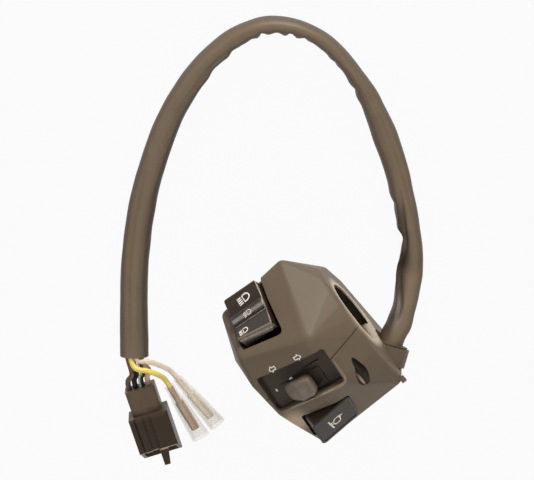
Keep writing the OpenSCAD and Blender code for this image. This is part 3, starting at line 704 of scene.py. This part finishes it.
def between(table, s):
    """A value read from a table of (distance, values) with smooth steps."""
    if s <= table[0][0]:
        return table[0][1:]
    for low, high in zip(table, table[1:]):
        if s <= high[0]:
            t = (s - low[0]) / (high[0] - low[0])
            t = t * t * (3 - 2 * t)
            return [a + (b - a) * t for a, b in zip(low[1:], high[1:])]
    return table[-1][1:]


def direction(heading, tilt):
    """A unit vector from its heading round Z and its tilt from Z, in degrees."""
    around, down = radians(heading), radians(tilt)
    level = sin(down)
    return Vector((level * cos(around), level * sin(around), cos(down)))


SLEEVE_R = 4.1
SLEEVE_Z = FLOOR_Z + SLEEVE_R + 0.1
OUTLET = Vector((19.4, -18.4, -4.5))
OUTLET_DIR = direction(33, 103)
SLEEVE_END = Vector((-47.2, 29.9, SLEEVE_Z))
SLEEVE_END_DIR = direction(-130, 90)
SLEEVE_ON_TABLE = (
    (41, -5), (46, 0.5), (50, 7.5), (54, 15.5), (58, 24), (61.5, 33), (64.5, 42),
    (66.8, 51.5), (67.6, 61), (67, 70), (63.5, 79), (57, 86), (49, 89.5), (40, 90.4),
    (30, 89.2), (20, 86.3), (11, 82.3), (2, 77), (-7, 71), (-15, 64.6), (-22.5, 57.7),
    (-30, 50),
)
SLEEVE_ROUTE = [
    OUTLET - 4 * OUTLET_DIR, OUTLET + 3.4 * OUTLET_DIR,
    (27.5, -14.2, -9), (32, -12, -12.5), (36.5, -8.8, -15.2),
    *[(x, y, SLEEVE_Z) for x, y in SLEEVE_ON_TABLE],
    SLEEVE_END - 13 * SLEEVE_END_DIR, SLEEVE_END - 6 * SLEEVE_END_DIR, SLEEVE_END,
]
# Distance along the sleeve, half width inside the loop, half width outside
SLEEVE_WIDTHS = (
    (0, 4.1, 4.1), (9, 4.0, 4.1), (14, 3.4, 4.5), (19, 3.3, 4.1), (30, 4.2, 4.2),
    (42, 3.4, 3.3), (54, 3.6, 3.7), (66, 3.7, 4.0), (78, 4.0, 4.1), (90, 3.5, 3.4),
    (102, 2.7, 2.6), (120, 2.5, 2.5), (138, 2.5, 3.0), (150, 3.2, 3.3), (168, 3.8, 3.7),
    (190, 4.0, 4.2), (216, 4.3, 4.5), (240, 4.4, 4.6), (262, 4.7, 4.7),
)
# Creases on the inside of the bend: distance, depth, half length, slant
SLEEVE_CREASES = (
    (91, 0.25, 2.2, 0.5), (97.5, 0.5, 1.6, -0.5), (104.5, 0.25, 2.0, 0.4), (109, 0.45, 1.3, -0.6),
    (118, 0.3, 2.0, 0.5), (122.5, 0.8, 1.4, -0.4), (126.5, 1.0, 1.2, 0.5), (132.5, 0.6, 1.8, -0.5),
    (136.5, 1.1, 1.3, 0.4), (141, 0.3, 1.6, -0.6), (148, 0.65, 1.8, 0.5), (158, 0.4, 2.2, -0.4),
    (44, 0.9, 2.2, 0.6), (56, 0.5, 2.0, -0.6),
)
# How far along the sleeve a crease runs at its slant, and how much of its depth counts upward
CREASE_SWEEP = 2.2
CREASE_RISE = 0.8
# A groove's lip: its height as a share of the groove's depth, and its place in half widths
CREASE_LIP = (0.55, 1.5)
FOLD_LIP = (0.5, 1.7)
# Long folds: start, finish, angle round the tube at start and finish, depth
SLEEVE_FOLDS = (
    (14, 33, 120, 150, 0.7), (30, 58, 150, 105, 0.9), (52, 104, 60, 75, 0.35),
    (150, 200, 118, 100, 0.4), (196, 262, 62, 70, 0.3), (222, 262, 100, 96, 0.25),
)
# How far a fold fades out past its ends, and its half width round the tube in radians
FOLD_FADE = 4
FOLD_HALF = 0.2
SLEEVE_SIDES = 56
SLEEVE_STEP = 0.9
SLEEVE_WALL = 0.75
# How deep the open end is hollow, how far from it the creases die away, and what is left
HOLLOW_DEPTH = 12
CALM_END, CALM_LEAST = 16, 0.3
# Where the tube leaves the outlet, and where it lies on the table: start and run
LEAVES_OUTLET = (7, 6)
LIES_DOWN = (34, 14)
# From here on no point is lower than this
TABLE_FROM, TABLE_Z = 30, FLOOR_Z + 0.05
# How much of the height that a flattened tube gains is kept, and its least half height
HEIGHT_KEPT = 0.85
LEAST_HALF_HEIGHT = 3
# Unevenness of the wall: its size, and how fast it changes along and round the tube
WOBBLE, WOBBLE_ALONG, WOBBLE_ROUND = 0.12, 0.16, 1.1
# How much squarer than a circle the free tube is
FREE_SQUARE = 0.5


def groove(away, lip, lip_at):
    """A groove with a raised lip beside it; away and lip_at are in half widths."""
    return exp(-away * away) - lip * exp(-(away - lip_at) ** 2)


def crease_depth(s, angle):
    """How far the wall is drawn in at a place on the sleeve."""
    drawn = 0
    inner = max(0, cos(angle - pi)) ** 1.5
    for place, depth, reach, slant in SLEEVE_CREASES:
        away = (s - place - slant * CREASE_SWEEP * sin(angle)) / reach
        if abs(away) < 4:
            drawn += depth * inner * groove(away, *CREASE_LIP)
    for start, finish, first, last, depth in SLEEVE_FOLDS:
        begun, left = s - start + FOLD_FADE, finish + FOLD_FADE - s
        if begun > 0 and left > 0:
            t = share((s - start) / (finish - start))
            faded = share(begun / (2 * FOLD_FADE)) * share(left / (2 * FOLD_FADE))
            line = radians(first + (last - first) * t)
            away = atan2(sin(angle - line), cos(angle - line)) / FOLD_HALF
            drawn += depth * faded * groove(away, *FOLD_LIP)
    return drawn


def sleeve_ring(centre, tangent, s, total, inset):
    """A ring of the sleeve; angle 0 points away from the loop and 180 into it."""
    outward = tangent.cross(UP).normalized()
    rise = outward.cross(tangent).normalized()
    inner, outer = between(SLEEVE_WIDTHS, s)
    middle, half = (outer - inner) / 2, (outer + inner) / 2
    tall = sqrt(max(2 * SLEEVE_R ** 2 - half * half, LEAST_HALF_HEIGHT ** 2))
    gain = (tall - SLEEVE_R) * HEIGHT_KEPT
    lift = gain * share((s - LIES_DOWN[0]) / LIES_DOWN[1])
    free = share((s - LEAVES_OUTLET[0]) / LEAVES_OUTLET[1])
    wide, high = half - inset, SLEEVE_R + gain - inset
    ring = []
    for k, (c, d) in enumerate(circle(SLEEVE_SIDES)):
        reach = squared(c, d, 2 + FREE_SQUARE * free)
        uneven = noise.noise(Vector((s * WOBBLE_ALONG, c * WOBBLE_ROUND, d * WOBBLE_ROUND)))
        wobble = WOBBLE * free * uneven
        drawn = crease_depth(s, 2 * pi * k / SLEEVE_SIDES) * free
        if s > total - CALM_END:
            drawn *= max(CALM_LEAST, (total - s) / CALM_END)
        x = (wide - drawn + wobble) * c * reach + middle
        y = (high - CREASE_RISE * drawn + wobble) * d * reach + lift
        place = centre + outward * x + rise * y
        if s > TABLE_FROM:
            place.z = max(place.z, TABLE_Z)
        ring.append(place)
    return ring


def sleeve_mesh():
    path = spline(SLEEVE_ROUTE, SLEEVE_STEP)
    count = len(path)
    tangents = [
        (path[min(i + 1, count - 1)] - path[max(i - 1, 0)]).normalized() for i in range(count)
    ]
    distance = [0.0]
    for a, b in zip(path, path[1:]):
        distance.append(distance[-1] + (b - a).length)
    total = distance[-1]
    hollow = [i for i in range(count) if distance[i] > total - HOLLOW_DEPTH]
    rows = [(i, 0.0) for i in range(count)] + [(i, SLEEVE_WALL) for i in reversed(hollow)]
    rings = [sleeve_ring(path[i], tangents[i], distance[i], total, inset) for i, inset in rows]
    obj = lofted("harness_sleeve_tube", rings, wrap=[distance[i] / total for i, _ in rows])
    smooth_shade(obj, 50)
    return obj, path, total


sleeve, sleeve_path, sleeve_length = sleeve_mesh()
fit(sleeve, "casing", "sleeve_vinyl", SLEEVE, "harness_sleeve")


# Casing halves

# Foot of the rocker's opening, which runs down to the right with the paddle
WINDOW_FOOT = (
    (-6.9, -10.3), (5.8, -12.8), (6.8, -12.85), (7.5, -12.5), (7.9, -11.8), (7.9, -11),
    (6.95, 3), (0, 3), (-6.9, -8),
)
WINDOW_FLOOR, WINDOW_DEPTH = -4.5, 14


def plain_piece(node, name, body, slot, material, edge, edge_angle=35, face_angle=32,
                cutter=None):
    """A CAD node's copy with softened edges, cut first where there is a cutter."""
    piece = node_copy(node, name)
    if cutter:
        apply_modifier(piece, "BOOLEAN", operation="DIFFERENCE", solver="EXACT", object=cutter)
        bpy.data.objects.remove(cutter)
    soften(piece, edge, edge_angle)
    smooth(piece, face_angle)
    return fit(piece, body, slot, material, node)


def casing_half(side, cutter=None):
    node = side + "_casing"
    return plain_piece(node, node + "_moulding", "casing", "casing_plastic", CASING,
                       edge=0.22, edge_angle=38, face_angle=34, cutter=cutter)


window = prism("rocker_window", WINDOW_FOOT, WINDOW_DEPTH)
casing_half("upper", seat(window, ROCKER_SEAT @ at(0, 0, WINDOW_FLOOR)))
lower_moulding = casing_half("lower")


# Middle of the recess in the indicator's frame, and half its length and width
RECESS_MIDDLE = (0.6, 0.8)
RECESS_HALF = (12.4, 6.7)
# The bead's reach beyond the recess, its radius at the corner, its steps and its width
RIM_REACH, RIM_CORNER, RIM_STEP, RIM_WIDTH = 0.5, 1.7, 0.4, 1.1
# The bead's line is dropped on the casing from this height, by at most this far
RIM_ABOVE, RIM_FALL = 14, 16
# How far the line stands proud, how far it keeps from the parting line, and its pointed ends
RIM_PROUD, RIM_CLEAR = 0.1, 0.3
RIM_TIP, RIM_GROWTH = 0.2, 0.1


def recess_rim():
    """A low bead along the foot of the recess, moulded on the lower half."""
    long, wide = [half + RIM_REACH - RIM_CORNER for half in RECESS_HALF]
    foot = [
        (-long + RIM_STEP * k, -wide - RIM_CORNER) for k in range(int(2 * long / RIM_STEP) + 1)
    ]
    corner = arc(long, -wide, RIM_CORNER, RIM_CORNER, -90, 0)
    side = [(long + RIM_CORNER, -wide + RIM_STEP * k) for k in range(int(2 * wide / RIM_STEP))]
    down = INDICATOR_SEAT.to_3x3() @ -UP
    path = []
    for u, v in foot + corner + side:
        above = Vector((RECESS_MIDDLE[0] + u, RECESS_MIDDLE[1] + v, RIM_ABOVE)) * MM
        found, place, _, _ = lower_moulding.ray_cast(
            INDICATOR_SEAT @ above, down, distance=RIM_FALL * MM
        )
        if found and place.y < -RIM_CLEAR * MM:
            path.append(place - RIM_PROUD * MM * down)
    rim = bead("recess_rim", [(path, False)], RIM_WIDTH, 3)
    last = len(path) - 1
    for k, point in enumerate(rim.data.splines[0].points):
        point.radius = min(1, RIM_TIP + RIM_GROWTH * min(k, last - k))
    turned_to_mesh(rim)
    smooth(rim, 60)
    return fit(rim, "casing", "casing_plastic", POLISHED_WITH_HIGHLIGHT)


recess_rim()


# Headlamp rocker: two paddles with a lit rib between them and a lip at the foot

# Side view from the foot's underside: distance up the rocker, height
ROCKER_PROFILE = (
    (-8.8, -2), (8.8, -2), (8.8, 1.3), (8.68, 1.8), (8.4, 2.2), (7.95, 2.42), (7.4, 2.38),
    (6.0, 2.16), (4.6, 1.96), (3.2, 1.78), (2.0, 1.64), (1.5, 1.64), (1.2, 1.8), (0.95, 2.2),
    (0.75, 2.5), (0.5, 2.62), (0.2, 2.62), (-0.6, 2.45), (-1.4, 2.2), (-2.0, 1.96),
    (-2.3, 1.74), (-2.6, 1.52), (-3.0, 1.46), (-3.8, 1.56), (-5.0, 1.76), (-6.2, 1.96),
    (-6.7, 2.06), (-7.05, 2.3), (-7.35, 2.36), (-7.75, 2.14), (-8.3, 1.5), (-8.7, 0.8),
)
ROCKER_HALF = 6.4
ROCKER_HALF_LENGTH = 8.8
ROCKER_UNDERSIDE = -2
# Below this height the cap keeps its edges and corners
ROCKER_PLAIN = -1.9
ROCKER_CORNER = 1.6
# Width and steps of the bevels on the upright end edges and along the sides
END_BEVEL = (1.3, 4)
SIDE_BEVEL = (0.42, 3)
PROFILE_ACROSS = Matrix(((0, 0, 1, 0), (1, 0, 0, 0), (0, 1, 0, 0), (0, 0, 0, 1)))
# Where the lower paddle starts to slant and its length, its drop from left to right and its lift
SLANT_FROM, SLANT_RUN, SLANT_DROP, SLANT_LIFT = -2.6, 6.2, 2.6, 0.3
# Only points above this height slant
SLANT_ABOVE = -1.5


def slant_foot(cap):
    """The lower paddle runs further down at its right end than at its left."""
    for vertex in cap.data.vertices:
        u, v, w = vertex.co / MM
        if v < SLANT_FROM and w > SLANT_ABOVE:
            drop = SLANT_DROP * (u + ROCKER_HALF) / (2 * ROCKER_HALF) - SLANT_LIFT
            vertex.co.y -= drop * (SLANT_FROM - v) / SLANT_RUN * MM


def round_corners(cap, radius):
    """Draws the cap's four corners in to an arc, seen from above."""
    across, along = ROCKER_HALF - radius, ROCKER_HALF_LENGTH - radius
    for vertex in cap.data.vertices:
        u, v, w = vertex.co / MM
        du, dv = abs(u) - across, abs(v) - along
        reach = hypot(du, dv)
        if w > ROCKER_PLAIN and du > 0 and dv > 0 and reach > radius:
            vertex.co.x = copysign(across + du * radius / reach, u) * MM
            vertex.co.y = copysign(along + dv * radius / reach, v) * MM


def bevel_chosen(width, segments):
    bpy.ops.mesh.bevel(offset=width * MM, segments=segments, affect="EDGES")
    leave_edit()


def at_cap_end(point):
    return abs(abs(point.y) - 8.75) < 0.12


def at_cap_side(point):
    return abs(abs(point.x) - ROCKER_HALF) < 0.01


def rocker_piece():
    cap = prism("rocker_paddle", ROCKER_PROFILE, 2 * ROCKER_HALF)
    seat(cap, at(-ROCKER_HALF, 0, 0) @ PROFILE_ACROSS)
    choose_edges(cap, lambda a, b: (
        at_cap_end(a) and at_cap_end(b) and abs(a.x - b.x) < 0.01 and abs(a.z - b.z) > 1
    ))
    bevel_chosen(*END_BEVEL)
    choose_edges(cap, lambda a, b: (
        at_cap_side(a) and at_cap_side(b) and min(a.z, b.z) > ROCKER_PLAIN
        and a.x * b.x > 0 and abs(a.y - b.y) > 0.05
    ))
    bevel_chosen(*SIDE_BEVEL)
    recalculate(cap)
    round_corners(cap, ROCKER_CORNER)
    slant_foot(cap)
    seat(cap, ROCKER_SEAT)
    works = node_copy("rocker_cap", "rocker_works")
    edit_all(works)
    bpy.ops.mesh.bisect(
        plane_co=ROCKER_SEAT @ (UP * ROCKER_UNDERSIDE * MM), plane_no=ROCKER_SEAT.to_3x3() @ UP,
        use_fill=True, clear_outer=True, clear_inner=False,
    )
    leave_edit()
    smooth(cap, 40)
    smooth(works, 30)
    return fit(join(cap, works), "rocker", "button_plastic", ROCKER, "rocker_cap")


rocker_piece()


# Indicator: guide plate, shutter and thumb knob

# Lower left and upper right corner of the rib beside the knob, and its turn
RIB_LOW, RIB_HIGH, RIB_TURN = (2.9, 2.5, -0.05), (8.6, 2.85, 0.55), 4


def guide_piece():
    plate = node_copy("indicator_guide", "indicator_plate")
    soften(plate, 0.12)
    rib = seat(block("plate_rib", RIB_LOW, RIB_HIGH), turn("Z", RIB_TURN))
    soften(rib, 0.1)
    seat(rib, INDICATOR_SEAT)
    join(plate, rib)
    smooth(plate)
    return fit(plate, "casing", "switch_plastic", SWITCH, "indicator_guide")


# How far each ring of the knob stands in from its outline, and its height
KNOB_RINGS = (
    (3.2, 5.52), (2.6, 5.53), (2.0, 5.58), (1.5, 5.68), (1.1, 5.78), (0.75, 5.8), (0.45, 5.7),
    (0.22, 5.5), (0.07, 5.15), (0.0, 4.7), (0.0, 4.0), (0.0, 3.0), (0.06, 2.3), (0.12, 2.0),
    (0.3, 1.8),
)
# The thumb side of the knob slopes: how far it reaches left at the top and at its foot
KNOB_SLOPE = (1.3, 6.1)
# Radius and height of each ring of the bore for the spring, and of the stem in it
KNOB_BORE = ((1.9, 1.8), (1.9, 4.9), (0.8, 4.9), (0.8, -1.25))
KNOB_HALF = (4.2, 3.4)
KNOB_TOP, KNOB_FOOT = 5.8, 1.8
KNOB_SIDES = 72
KNOB_OFFSET = -1.7
# How square the knob is at its wall and on its top, where 2 is round
KNOB_SQUARE = (4.5, 3.0)


def knob_ring(inset, height):
    power = KNOB_SQUARE[0] if inset < 1 else KNOB_SQUARE[1]
    fall = (KNOB_TOP - height) / (KNOB_TOP - KNOB_FOOT)
    left = (KNOB_SLOPE[0] + (KNOB_SLOPE[1] - KNOB_SLOPE[0]) * fall) / KNOB_HALF[0]
    ring = []
    for c, d in circle(KNOB_SIDES):
        reach = squared(c, d, power)
        x = (KNOB_HALF[0] - inset) * c * reach
        y = (KNOB_HALF[1] - inset) * d * reach
        ring.append((x * left if c < 0 else x, y, height))
    return ring


def knob_piece():
    rings = [knob_ring(*row) for row in KNOB_RINGS]
    rings += [[(r * c, r * d, height) for c, d in circle(KNOB_SIDES)] for r, height in KNOB_BORE]
    knob = lofted("indicator_thumb_knob", rings)
    seat(knob, INDICATOR_SEAT @ at(0, KNOB_OFFSET, 0))
    smooth(knob, 50)
    return fit(knob, "indicator_button", "knob_plastic", KNOB, "indicator_knob")


guide_piece()
plain_piece("indicator_shutter", "indicator_flap", "indicator_slider", "switch_plastic", SWITCH,
            edge=0.06)
knob_piece()


# Horn button: a softened top edge and a face that is let in

# The top edge is above this height and this far out, and the face is above this height
HORN_EDGE_Z, HORN_EDGE_OUT, HORN_FACE_Z = 2.65, 4.6, 2.68
HORN_BEVEL = (0.5, 4)
# Width and depth of each step in from the edge of the face
HORN_STEPS = ((0.3, 0), (0.2, -0.1))


def horn_piece():
    cap = node_copy("horn_button", "horn_cap")
    seat(cap, HORN_SEAT.inverted())
    choose_edges(cap, lambda a, b: (
        min(a.z, b.z) > HORN_EDGE_Z and max(abs(a.x), abs(a.y)) > HORN_EDGE_OUT
    ))
    bevel_chosen(*HORN_BEVEL)
    choose_faces(cap, lambda centre, normal: centre.z > HORN_FACE_Z and normal.z > 0.98)
    for width, depth in HORN_STEPS:
        bpy.ops.mesh.inset(thickness=width * MM, depth=depth * MM)
    leave_edit()
    seat(cap, HORN_SEAT)
    smooth(cap, 30)
    return fit(cap, "horn", "button_plastic", BUTTON, "horn_button")


horn_piece()


# Connector, terminals and clear sleeves

connector = plain_piece("connector_housing", "connector_shell", "casing", "connector_nylon",
                        CONNECTOR, edge=0.28, edge_angle=40, face_angle=36)

# Distance from the wire end and radius of each ring of the crimped tube
CRIMP_TUBE = ((0.6, 0.95), (6.8, 0.95), (6.8, 1.03), (0.8, 1.03), (0.6, 1.0))
CRIMP_SIDES = 24


def terminal_piece(letter, clip, material):
    node = "terminal_" + letter
    name = "bullet_" + node
    barrel = node_copy(node, name)
    soften(barrel, 0.15, 50)
    smooth(barrel, 40)
    rings = [[(x, r * c, r * d) for c, d in circle(CRIMP_SIDES)] for x, r in CRIMP_TUBE]
    crimp = lofted(name + "_crimp", rings, loop=True)
    seat(crimp, clip)
    smooth(crimp, 40)
    return fit(join(barrel, crimp), "casing", "contact_brass", material, node)


# Distance from the wire end, half width, half height
CLEAR_SECTIONS = (
    (0, 1.75, 1.5), (2, 1.8, 1.5), (4.3, 1.9, 1.6), (6.3, 2.3, 2.1), (9, 2.55, 2.2),
    (13, 2.75, 2.2), (17, 2.95, 2.2), (21, 3.2, 2.2),
)
CLEAR_WALL = 0.45
CLEAR_SIDES = 32
CLEAR_STEP, CLEAR_RINGS = 0.75, 29


def clear_sleeve_piece(letter, clip, widen, material):
    def ring(x, inset):
        wide, high = between(CLEAR_SECTIONS, x)
        return [
            (x, (wide * widen - inset) * c, (high - inset) * d) for c, d in circle(CLEAR_SIDES)
        ]

    stations = [k * CLEAR_STEP for k in range(CLEAR_RINGS)]
    rings = [ring(x, 0) for x in stations] + [ring(x, CLEAR_WALL) for x in reversed(stations)]
    cover = lofted("clear_cover_" + letter, rings, loop=True)
    seat(cover, clip)
    smooth_shade(cover, 45)
    return fit(cover, "casing", "clear_vinyl", material, "clear_sleeve_" + letter)


terminal_a = terminal_piece("a", CLIP_A_SEAT, COPPER)
terminal_b = terminal_piece("b", CLIP_B_SEAT, TIN)
clear_a = clear_sleeve_piece("a", CLIP_A_SEAT, 1.0, CLEAR)
clear_b = clear_sleeve_piece("b", CLIP_B_SEAT, 0.95, MILKY)


# Wires from the sleeve's open end to the connector and the two single terminals

WIRE_D = 1.8
WIRE_STEP = 0.7
# How far from the sleeve's middle the wires lie in its end, and their first points' depths in it
WIRE_RING = 2.1
WIRE_DEPTHS = (11, 2, -1)
SLEEVE_SIDE_DIR = Vector((-SLEEVE_END_DIR.y, SLEEVE_END_DIR.x, 0))
# Where a wire enters the connector and stops in it, and the same for a terminal
PLUG_ENTRY_X, PLUG_STOP_X = -23.4, -13
CLIP_ENTRY_X, CLIP_STOP_X = -1.5, 10.5
# Distance between the connector's ways, and their height
PLUG_PITCH, PLUG_WAY_Z = 2.2, 4.1


def in_sleeve(angle, depth):
    swing = radians(angle)
    return (
        SLEEVE_END - depth * SLEEVE_END_DIR
        + WIRE_RING * (cos(swing) * SLEEVE_SIDE_DIR + sin(swing) * UP)
    )


def seated_point(matrix, x, y=0, z=0):
    return (matrix @ (Vector((x, y, z)) * MM)) / MM


def wire(colour, angle, points, material, slot):
    """A wire that leaves the sleeve at an angle round its end and runs through the points."""
    start = [in_sleeve(angle, depth) for depth in WIRE_DEPTHS]
    places = spline(start + points, WIRE_STEP)
    obj = bead(colour + "_wire_run", [([p * MM for p in places], False)], WIRE_D, 4)
    obj.data.twist_mode = "Z_UP"
    fit(obj, "casing", slot, material, colour + "_wire")


def plug_wire(colour, angle, knot, way, material):
    ends = [
        seated_point(PLUG_SEAT, x, way * PLUG_PITCH, PLUG_WAY_Z)
        for x in (PLUG_ENTRY_X, PLUG_STOP_X)
    ]
    wire(colour, angle, [knot] + ends, material, colour + "_vinyl")


def clip_wire(colour, angle, knots, clip, material, slot):
    ends = [seated_point(clip, x) for x in (CLIP_ENTRY_X, CLIP_STOP_X)]
    wire(colour, angle, knots + ends, material, slot)


plug_wire("brown", 180, (-52, 25.5, -17.2), -1.5, BROWN)
plug_wire("black", 240, (-51, 24.5, -18.2), -0.5, BLACK)
plug_wire("green", 300, (-49.3, 23.3, -18.2), 0.5, GREEN)
plug_wire("pink", 0, (-47, 22.5, -17.4), 1.5, PINK)
clip_wire("yellow", 120, [(-49, 27, -14.2), (-46.6, 24, -13.8), (-45.2, 20.6, -15.2)],
          CLIP_A_SEAT, YELLOW, "yellow_vinyl")
clip_wire("white", 60, [(-44.4, 25.6, -15.4), (-42.4, 20.4, -17.6)],
          CLIP_B_SEAT, WHITE_WIRE, "white_plastic")


# Printed symbols: flattened strokes that lie on the faces

INK_THICKNESS = 0.05
INK_LIFT = 0.01


def ink(name, strokes, width, place, body):
    """Strokes in millimetres on a face, each (points, closed)."""
    lines = [([(x * MM, y * MM, 0) for x, y in points], closed) for points, closed in strokes]
    obj = turned_to_mesh(bead(name, lines, width, 2))
    seat(obj, place @ Matrix.Diagonal((1, 1, INK_THICKNESS / width, 1)))
    smooth(obj, 60)
    return fit(obj, body, "white_plastic", INK)


def beam_symbol(size, slant=0.0):
    """A lamp seen from the side: a bowl with four rays, level or dipped."""
    bowl = [(-0.1 * size, -0.5 * size)] + arc(0.25 * size, 0, 0.6 * size, 0.5 * size, -90, 90)
    bowl += [(-0.1 * size, 0.5 * size)]
    strokes = [(bowl, True)]
    for k in range(4):
        y = (k - 1.5) * 0.3 * size
        strokes.append(([(-1.0 * size, y - slant * size), (-0.35 * size, y)], False))
    return strokes


def arrow_symbol(length, width):
    """A hollow arrow that points along +X."""
    half, shaft = width / 2, width / 4.2
    tip, neck, tail = length / 2, 0.05 * length, -length / 2
    return [([
        (tip, 0), (neck, half), (neck, shaft), (tail, shaft), (tail, -shaft),
        (neck, -shaft), (neck, -half),
    ], True)]


def dot_symbol(start, finish):
    return [([start, finish], False)]


HORN_SYMBOL = [
    ([(-2.4, 2.1), (-2.2, 0.4), (-1.7, -2.7)], False),
    ([(-2.2, 0.2), (-0.6, 0.35), (-0.4, 1.0), (1.2, 1.0), (1.7, 0.2), (1.5, -1.3),
      (0.9, -1.75), (-0.7, -1.6), (-0.9, -0.7), (-1.95, -0.65)], False),
    ([(1.3, 0.95), (2.7, 0.55)], False),
]
TURN_SYMBOL = arrow_symbol(2.3, 2.2)


def on_face(seat_matrix, u, v, w, tilt=0.0, spin=0.0):
    return seat_matrix @ at(u, v, w) @ turn("X", tilt) @ turn("Z", spin)


def on_casing(centre, normal, tip, tail):
    """A place on the casing with +X from tail to tip."""
    up = Vector(normal).normalized()
    ahead = Vector(tip) - Vector(tail)
    ahead = (ahead - ahead.dot(up) * up).normalized()
    basis = Matrix((ahead, up.cross(ahead), up)).transposed().to_4x4()
    return Matrix.Translation((Vector(centre) + INK_LIFT * up) * MM) @ basis


ink("high_beam_mark", beam_symbol(2.4), 0.46,
    on_face(ROCKER_SEAT, 0.5, 4.8, 2.0, 7.9, 9), "rocker")
ink("low_beam_mark", beam_symbol(1.5, 0.25), 0.22,
    on_face(ROCKER_SEAT, 0.1, -0.85, 2.36, 16), "rocker")
ink("flash_mark", beam_symbol(1.8), 0.38,
    on_face(ROCKER_SEAT, -3.5, -5.6, 1.86, -9.4, 4), "rocker")
ink("horn_mark", HORN_SYMBOL, 0.5, on_face(HORN_SEAT, 0, 0, 2.62), "horn")
LEFT_TURN = on_casing(
    (-8.64, 7.98, 18.51), (-0.345, 0.192, 0.919), (-9.98, 8.05, 18), (-7.24, 7.95, 19.04)
)
RIGHT_TURN = on_casing(
    (0.47, 6.91, 21.83), (-0.33, -0.027, 0.944), (1.81, 6.73, 22.3), (-0.84, 7.08, 21.38)
)
ink("left_turn_mark", TURN_SYMBOL, 0.46, LEFT_TURN, "casing")
ink("right_turn_mark", TURN_SYMBOL, 0.46, RIGHT_TURN, "casing")
ink("left_dot", dot_symbol((-0.2, 0), (0.2, 0)), 0.9,
    on_face(INDICATOR_SEAT, -8.9, 0.3, 0.02), "casing")
ink("centre_dot", dot_symbol((-0.6, -0.2), (0.5, 0.2)), 0.9,
    on_face(INDICATOR_SEAT, -2.7, 1.6, 0.02), "casing")


# Carried-over parts inside the casing

INSIDE_FINISHES = (
    (STEEL, ("casing_screws", "rocker_pins")),
    (SWITCH, ("headlamp_base", "horn_base")),
    (BRASS, ("headlamp_contacts", "rocker_contact", "indicator_contacts", "indicator_wiper",
             "horn_contacts", "horn_disc", "connector_pins")),
    (ACETAL, ("rocker_plunger", "indicator_carriage")),
    (PHENOLIC, ("indicator_base",)),
    (SPRING, ("rocker_spring",)),
    (LEAD, ("headlamp_lead", "indicator_lead", "horn_lead")),
)
for material, nodes in INSIDE_FINISHES:
    for node in nodes:
        part = frame["nodes"][node]
        part.data.materials.clear()
        part.data.materials.append(material)


def return_spring(node, name, body):
    """A smooth copy of a return spring's coil, seated on the given body, with a mesh of its own.
    """
    coil = node_copy(node, name)
    smooth(coil, 50)
    fit(coil, body, "spring_steel", SPRING, node)
    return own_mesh(coil)


return_spring("knob_spring", "knob_coil", "indicator_slider")
return_spring("horn_spring", "horn_coil", "casing")
plain_piece("outlet_grommet", "outlet_bush", "casing", "grommet_rubber", GROMMET,
            edge=0.2, edge_angle=50, face_angle=40)


# Floor, light and background

PAPER = (0.3, 0.3, 0.3, 1)
WHITE = (1, 1, 1, 1)
FLOOR_GLOW = 0.95
SKY_AT_LEVEL, SKY_OVERHEAD = 0.05, 0.35
WARM = (1, 0.95, 0.87)


def seen_by(tree, *kinds):
    """1 for the kinds of rays that are named."""
    rays = add_node(tree, "LightPath").outputs
    seen = rays[kinds[0]]
    for kind in kinds[1:]:
        seen = calculate(tree, "MAXIMUM", seen, rays[kind])
    return seen


def white_floor():
    clear_selection()
    bpy.ops.mesh.primitive_plane_add(size=3, location=(0, 0, FLOOR_Z * MM))
    floor = named("studio_floor")
    material = bpy.data.materials.new("studio_white")
    material.use_nodes = True
    tree = material.node_tree
    tree.nodes.clear()
    paper = add_node(tree, "BsdfDiffuse", Color=PAPER)
    glow = add_node(tree, "Emission", Color=WHITE, Strength=1.0)
    seen = seen_by(tree, "Is Camera Ray", "Is Glossy Ray", "Is Transmission Ray")
    blend = add_node(tree, "MixShader",
                     Fac=calculate(tree, "MULTIPLY", seen, FLOOR_GLOW))
    feed(blend.inputs[1], paper.outputs["BSDF"])
    feed(blend.inputs[2], glow.outputs["Emission"])
    add_node(tree, "OutputMaterial", Surface=blend.outputs["Shader"])
    floor.data.materials.append(material)


def soft_lamp(name, place, aim, size, power):
    clear_selection()
    bpy.ops.object.light_add(type="AREA", location=place)
    lamp = bpy.context.active_object
    lamp.name = name
    lamp.data.shape = "DISK"
    lamp.data.size = size
    lamp.data.energy = power
    lamp.data.color = WARM
    lamp.rotation_euler = (Vector(aim) - Vector(place)).to_track_quat("-Z", "Y").to_euler()


def studio_world():
    """A soft sky, brighter overhead, that shows white to the camera."""
    world = bpy.data.worlds.new("studio_sky")
    bpy.context.scene.world = world
    world.use_nodes = True
    tree = world.node_tree
    coords = add_node(tree, "TexCoord").outputs["Generated"]
    height = fade(tree, axes(tree, coords)["Z"], 0, 1, SKY_AT_LEVEL, SKY_OVERHEAD)
    grey = add_node(tree, "CombineColor", Red=height, Green=height, Blue=height)
    seen = seen_by(tree, "Is Camera Ray", "Is Transmission Ray")
    sky = colour_mix(tree, seen, grey.outputs["Color"], WHITE)
    set_inputs(tree.nodes["Background"], Color=sky, Strength=1)


white_floor()
studio_world()
soft_lamp("key_lamp", (0.65, 0.6, 0.22), (0, 0.02, 0), 0.4, 8)
soft_lamp("rib_lamp", (-0.41, 0.8, 0.48), (0, 0.02, 0), 0.24, 1.7)
soft_lamp("low_lamp", (-0.1, -0.6, 0.5), (0, 0, 0), 0.5, 2.4)
soft_lamp("lip_lamp", (-0.61, -0.1, 0.67), (0, 0.02, 0), 0.2, 0.9)
bpy.context.scene.view_settings.view_transform = "Standard"
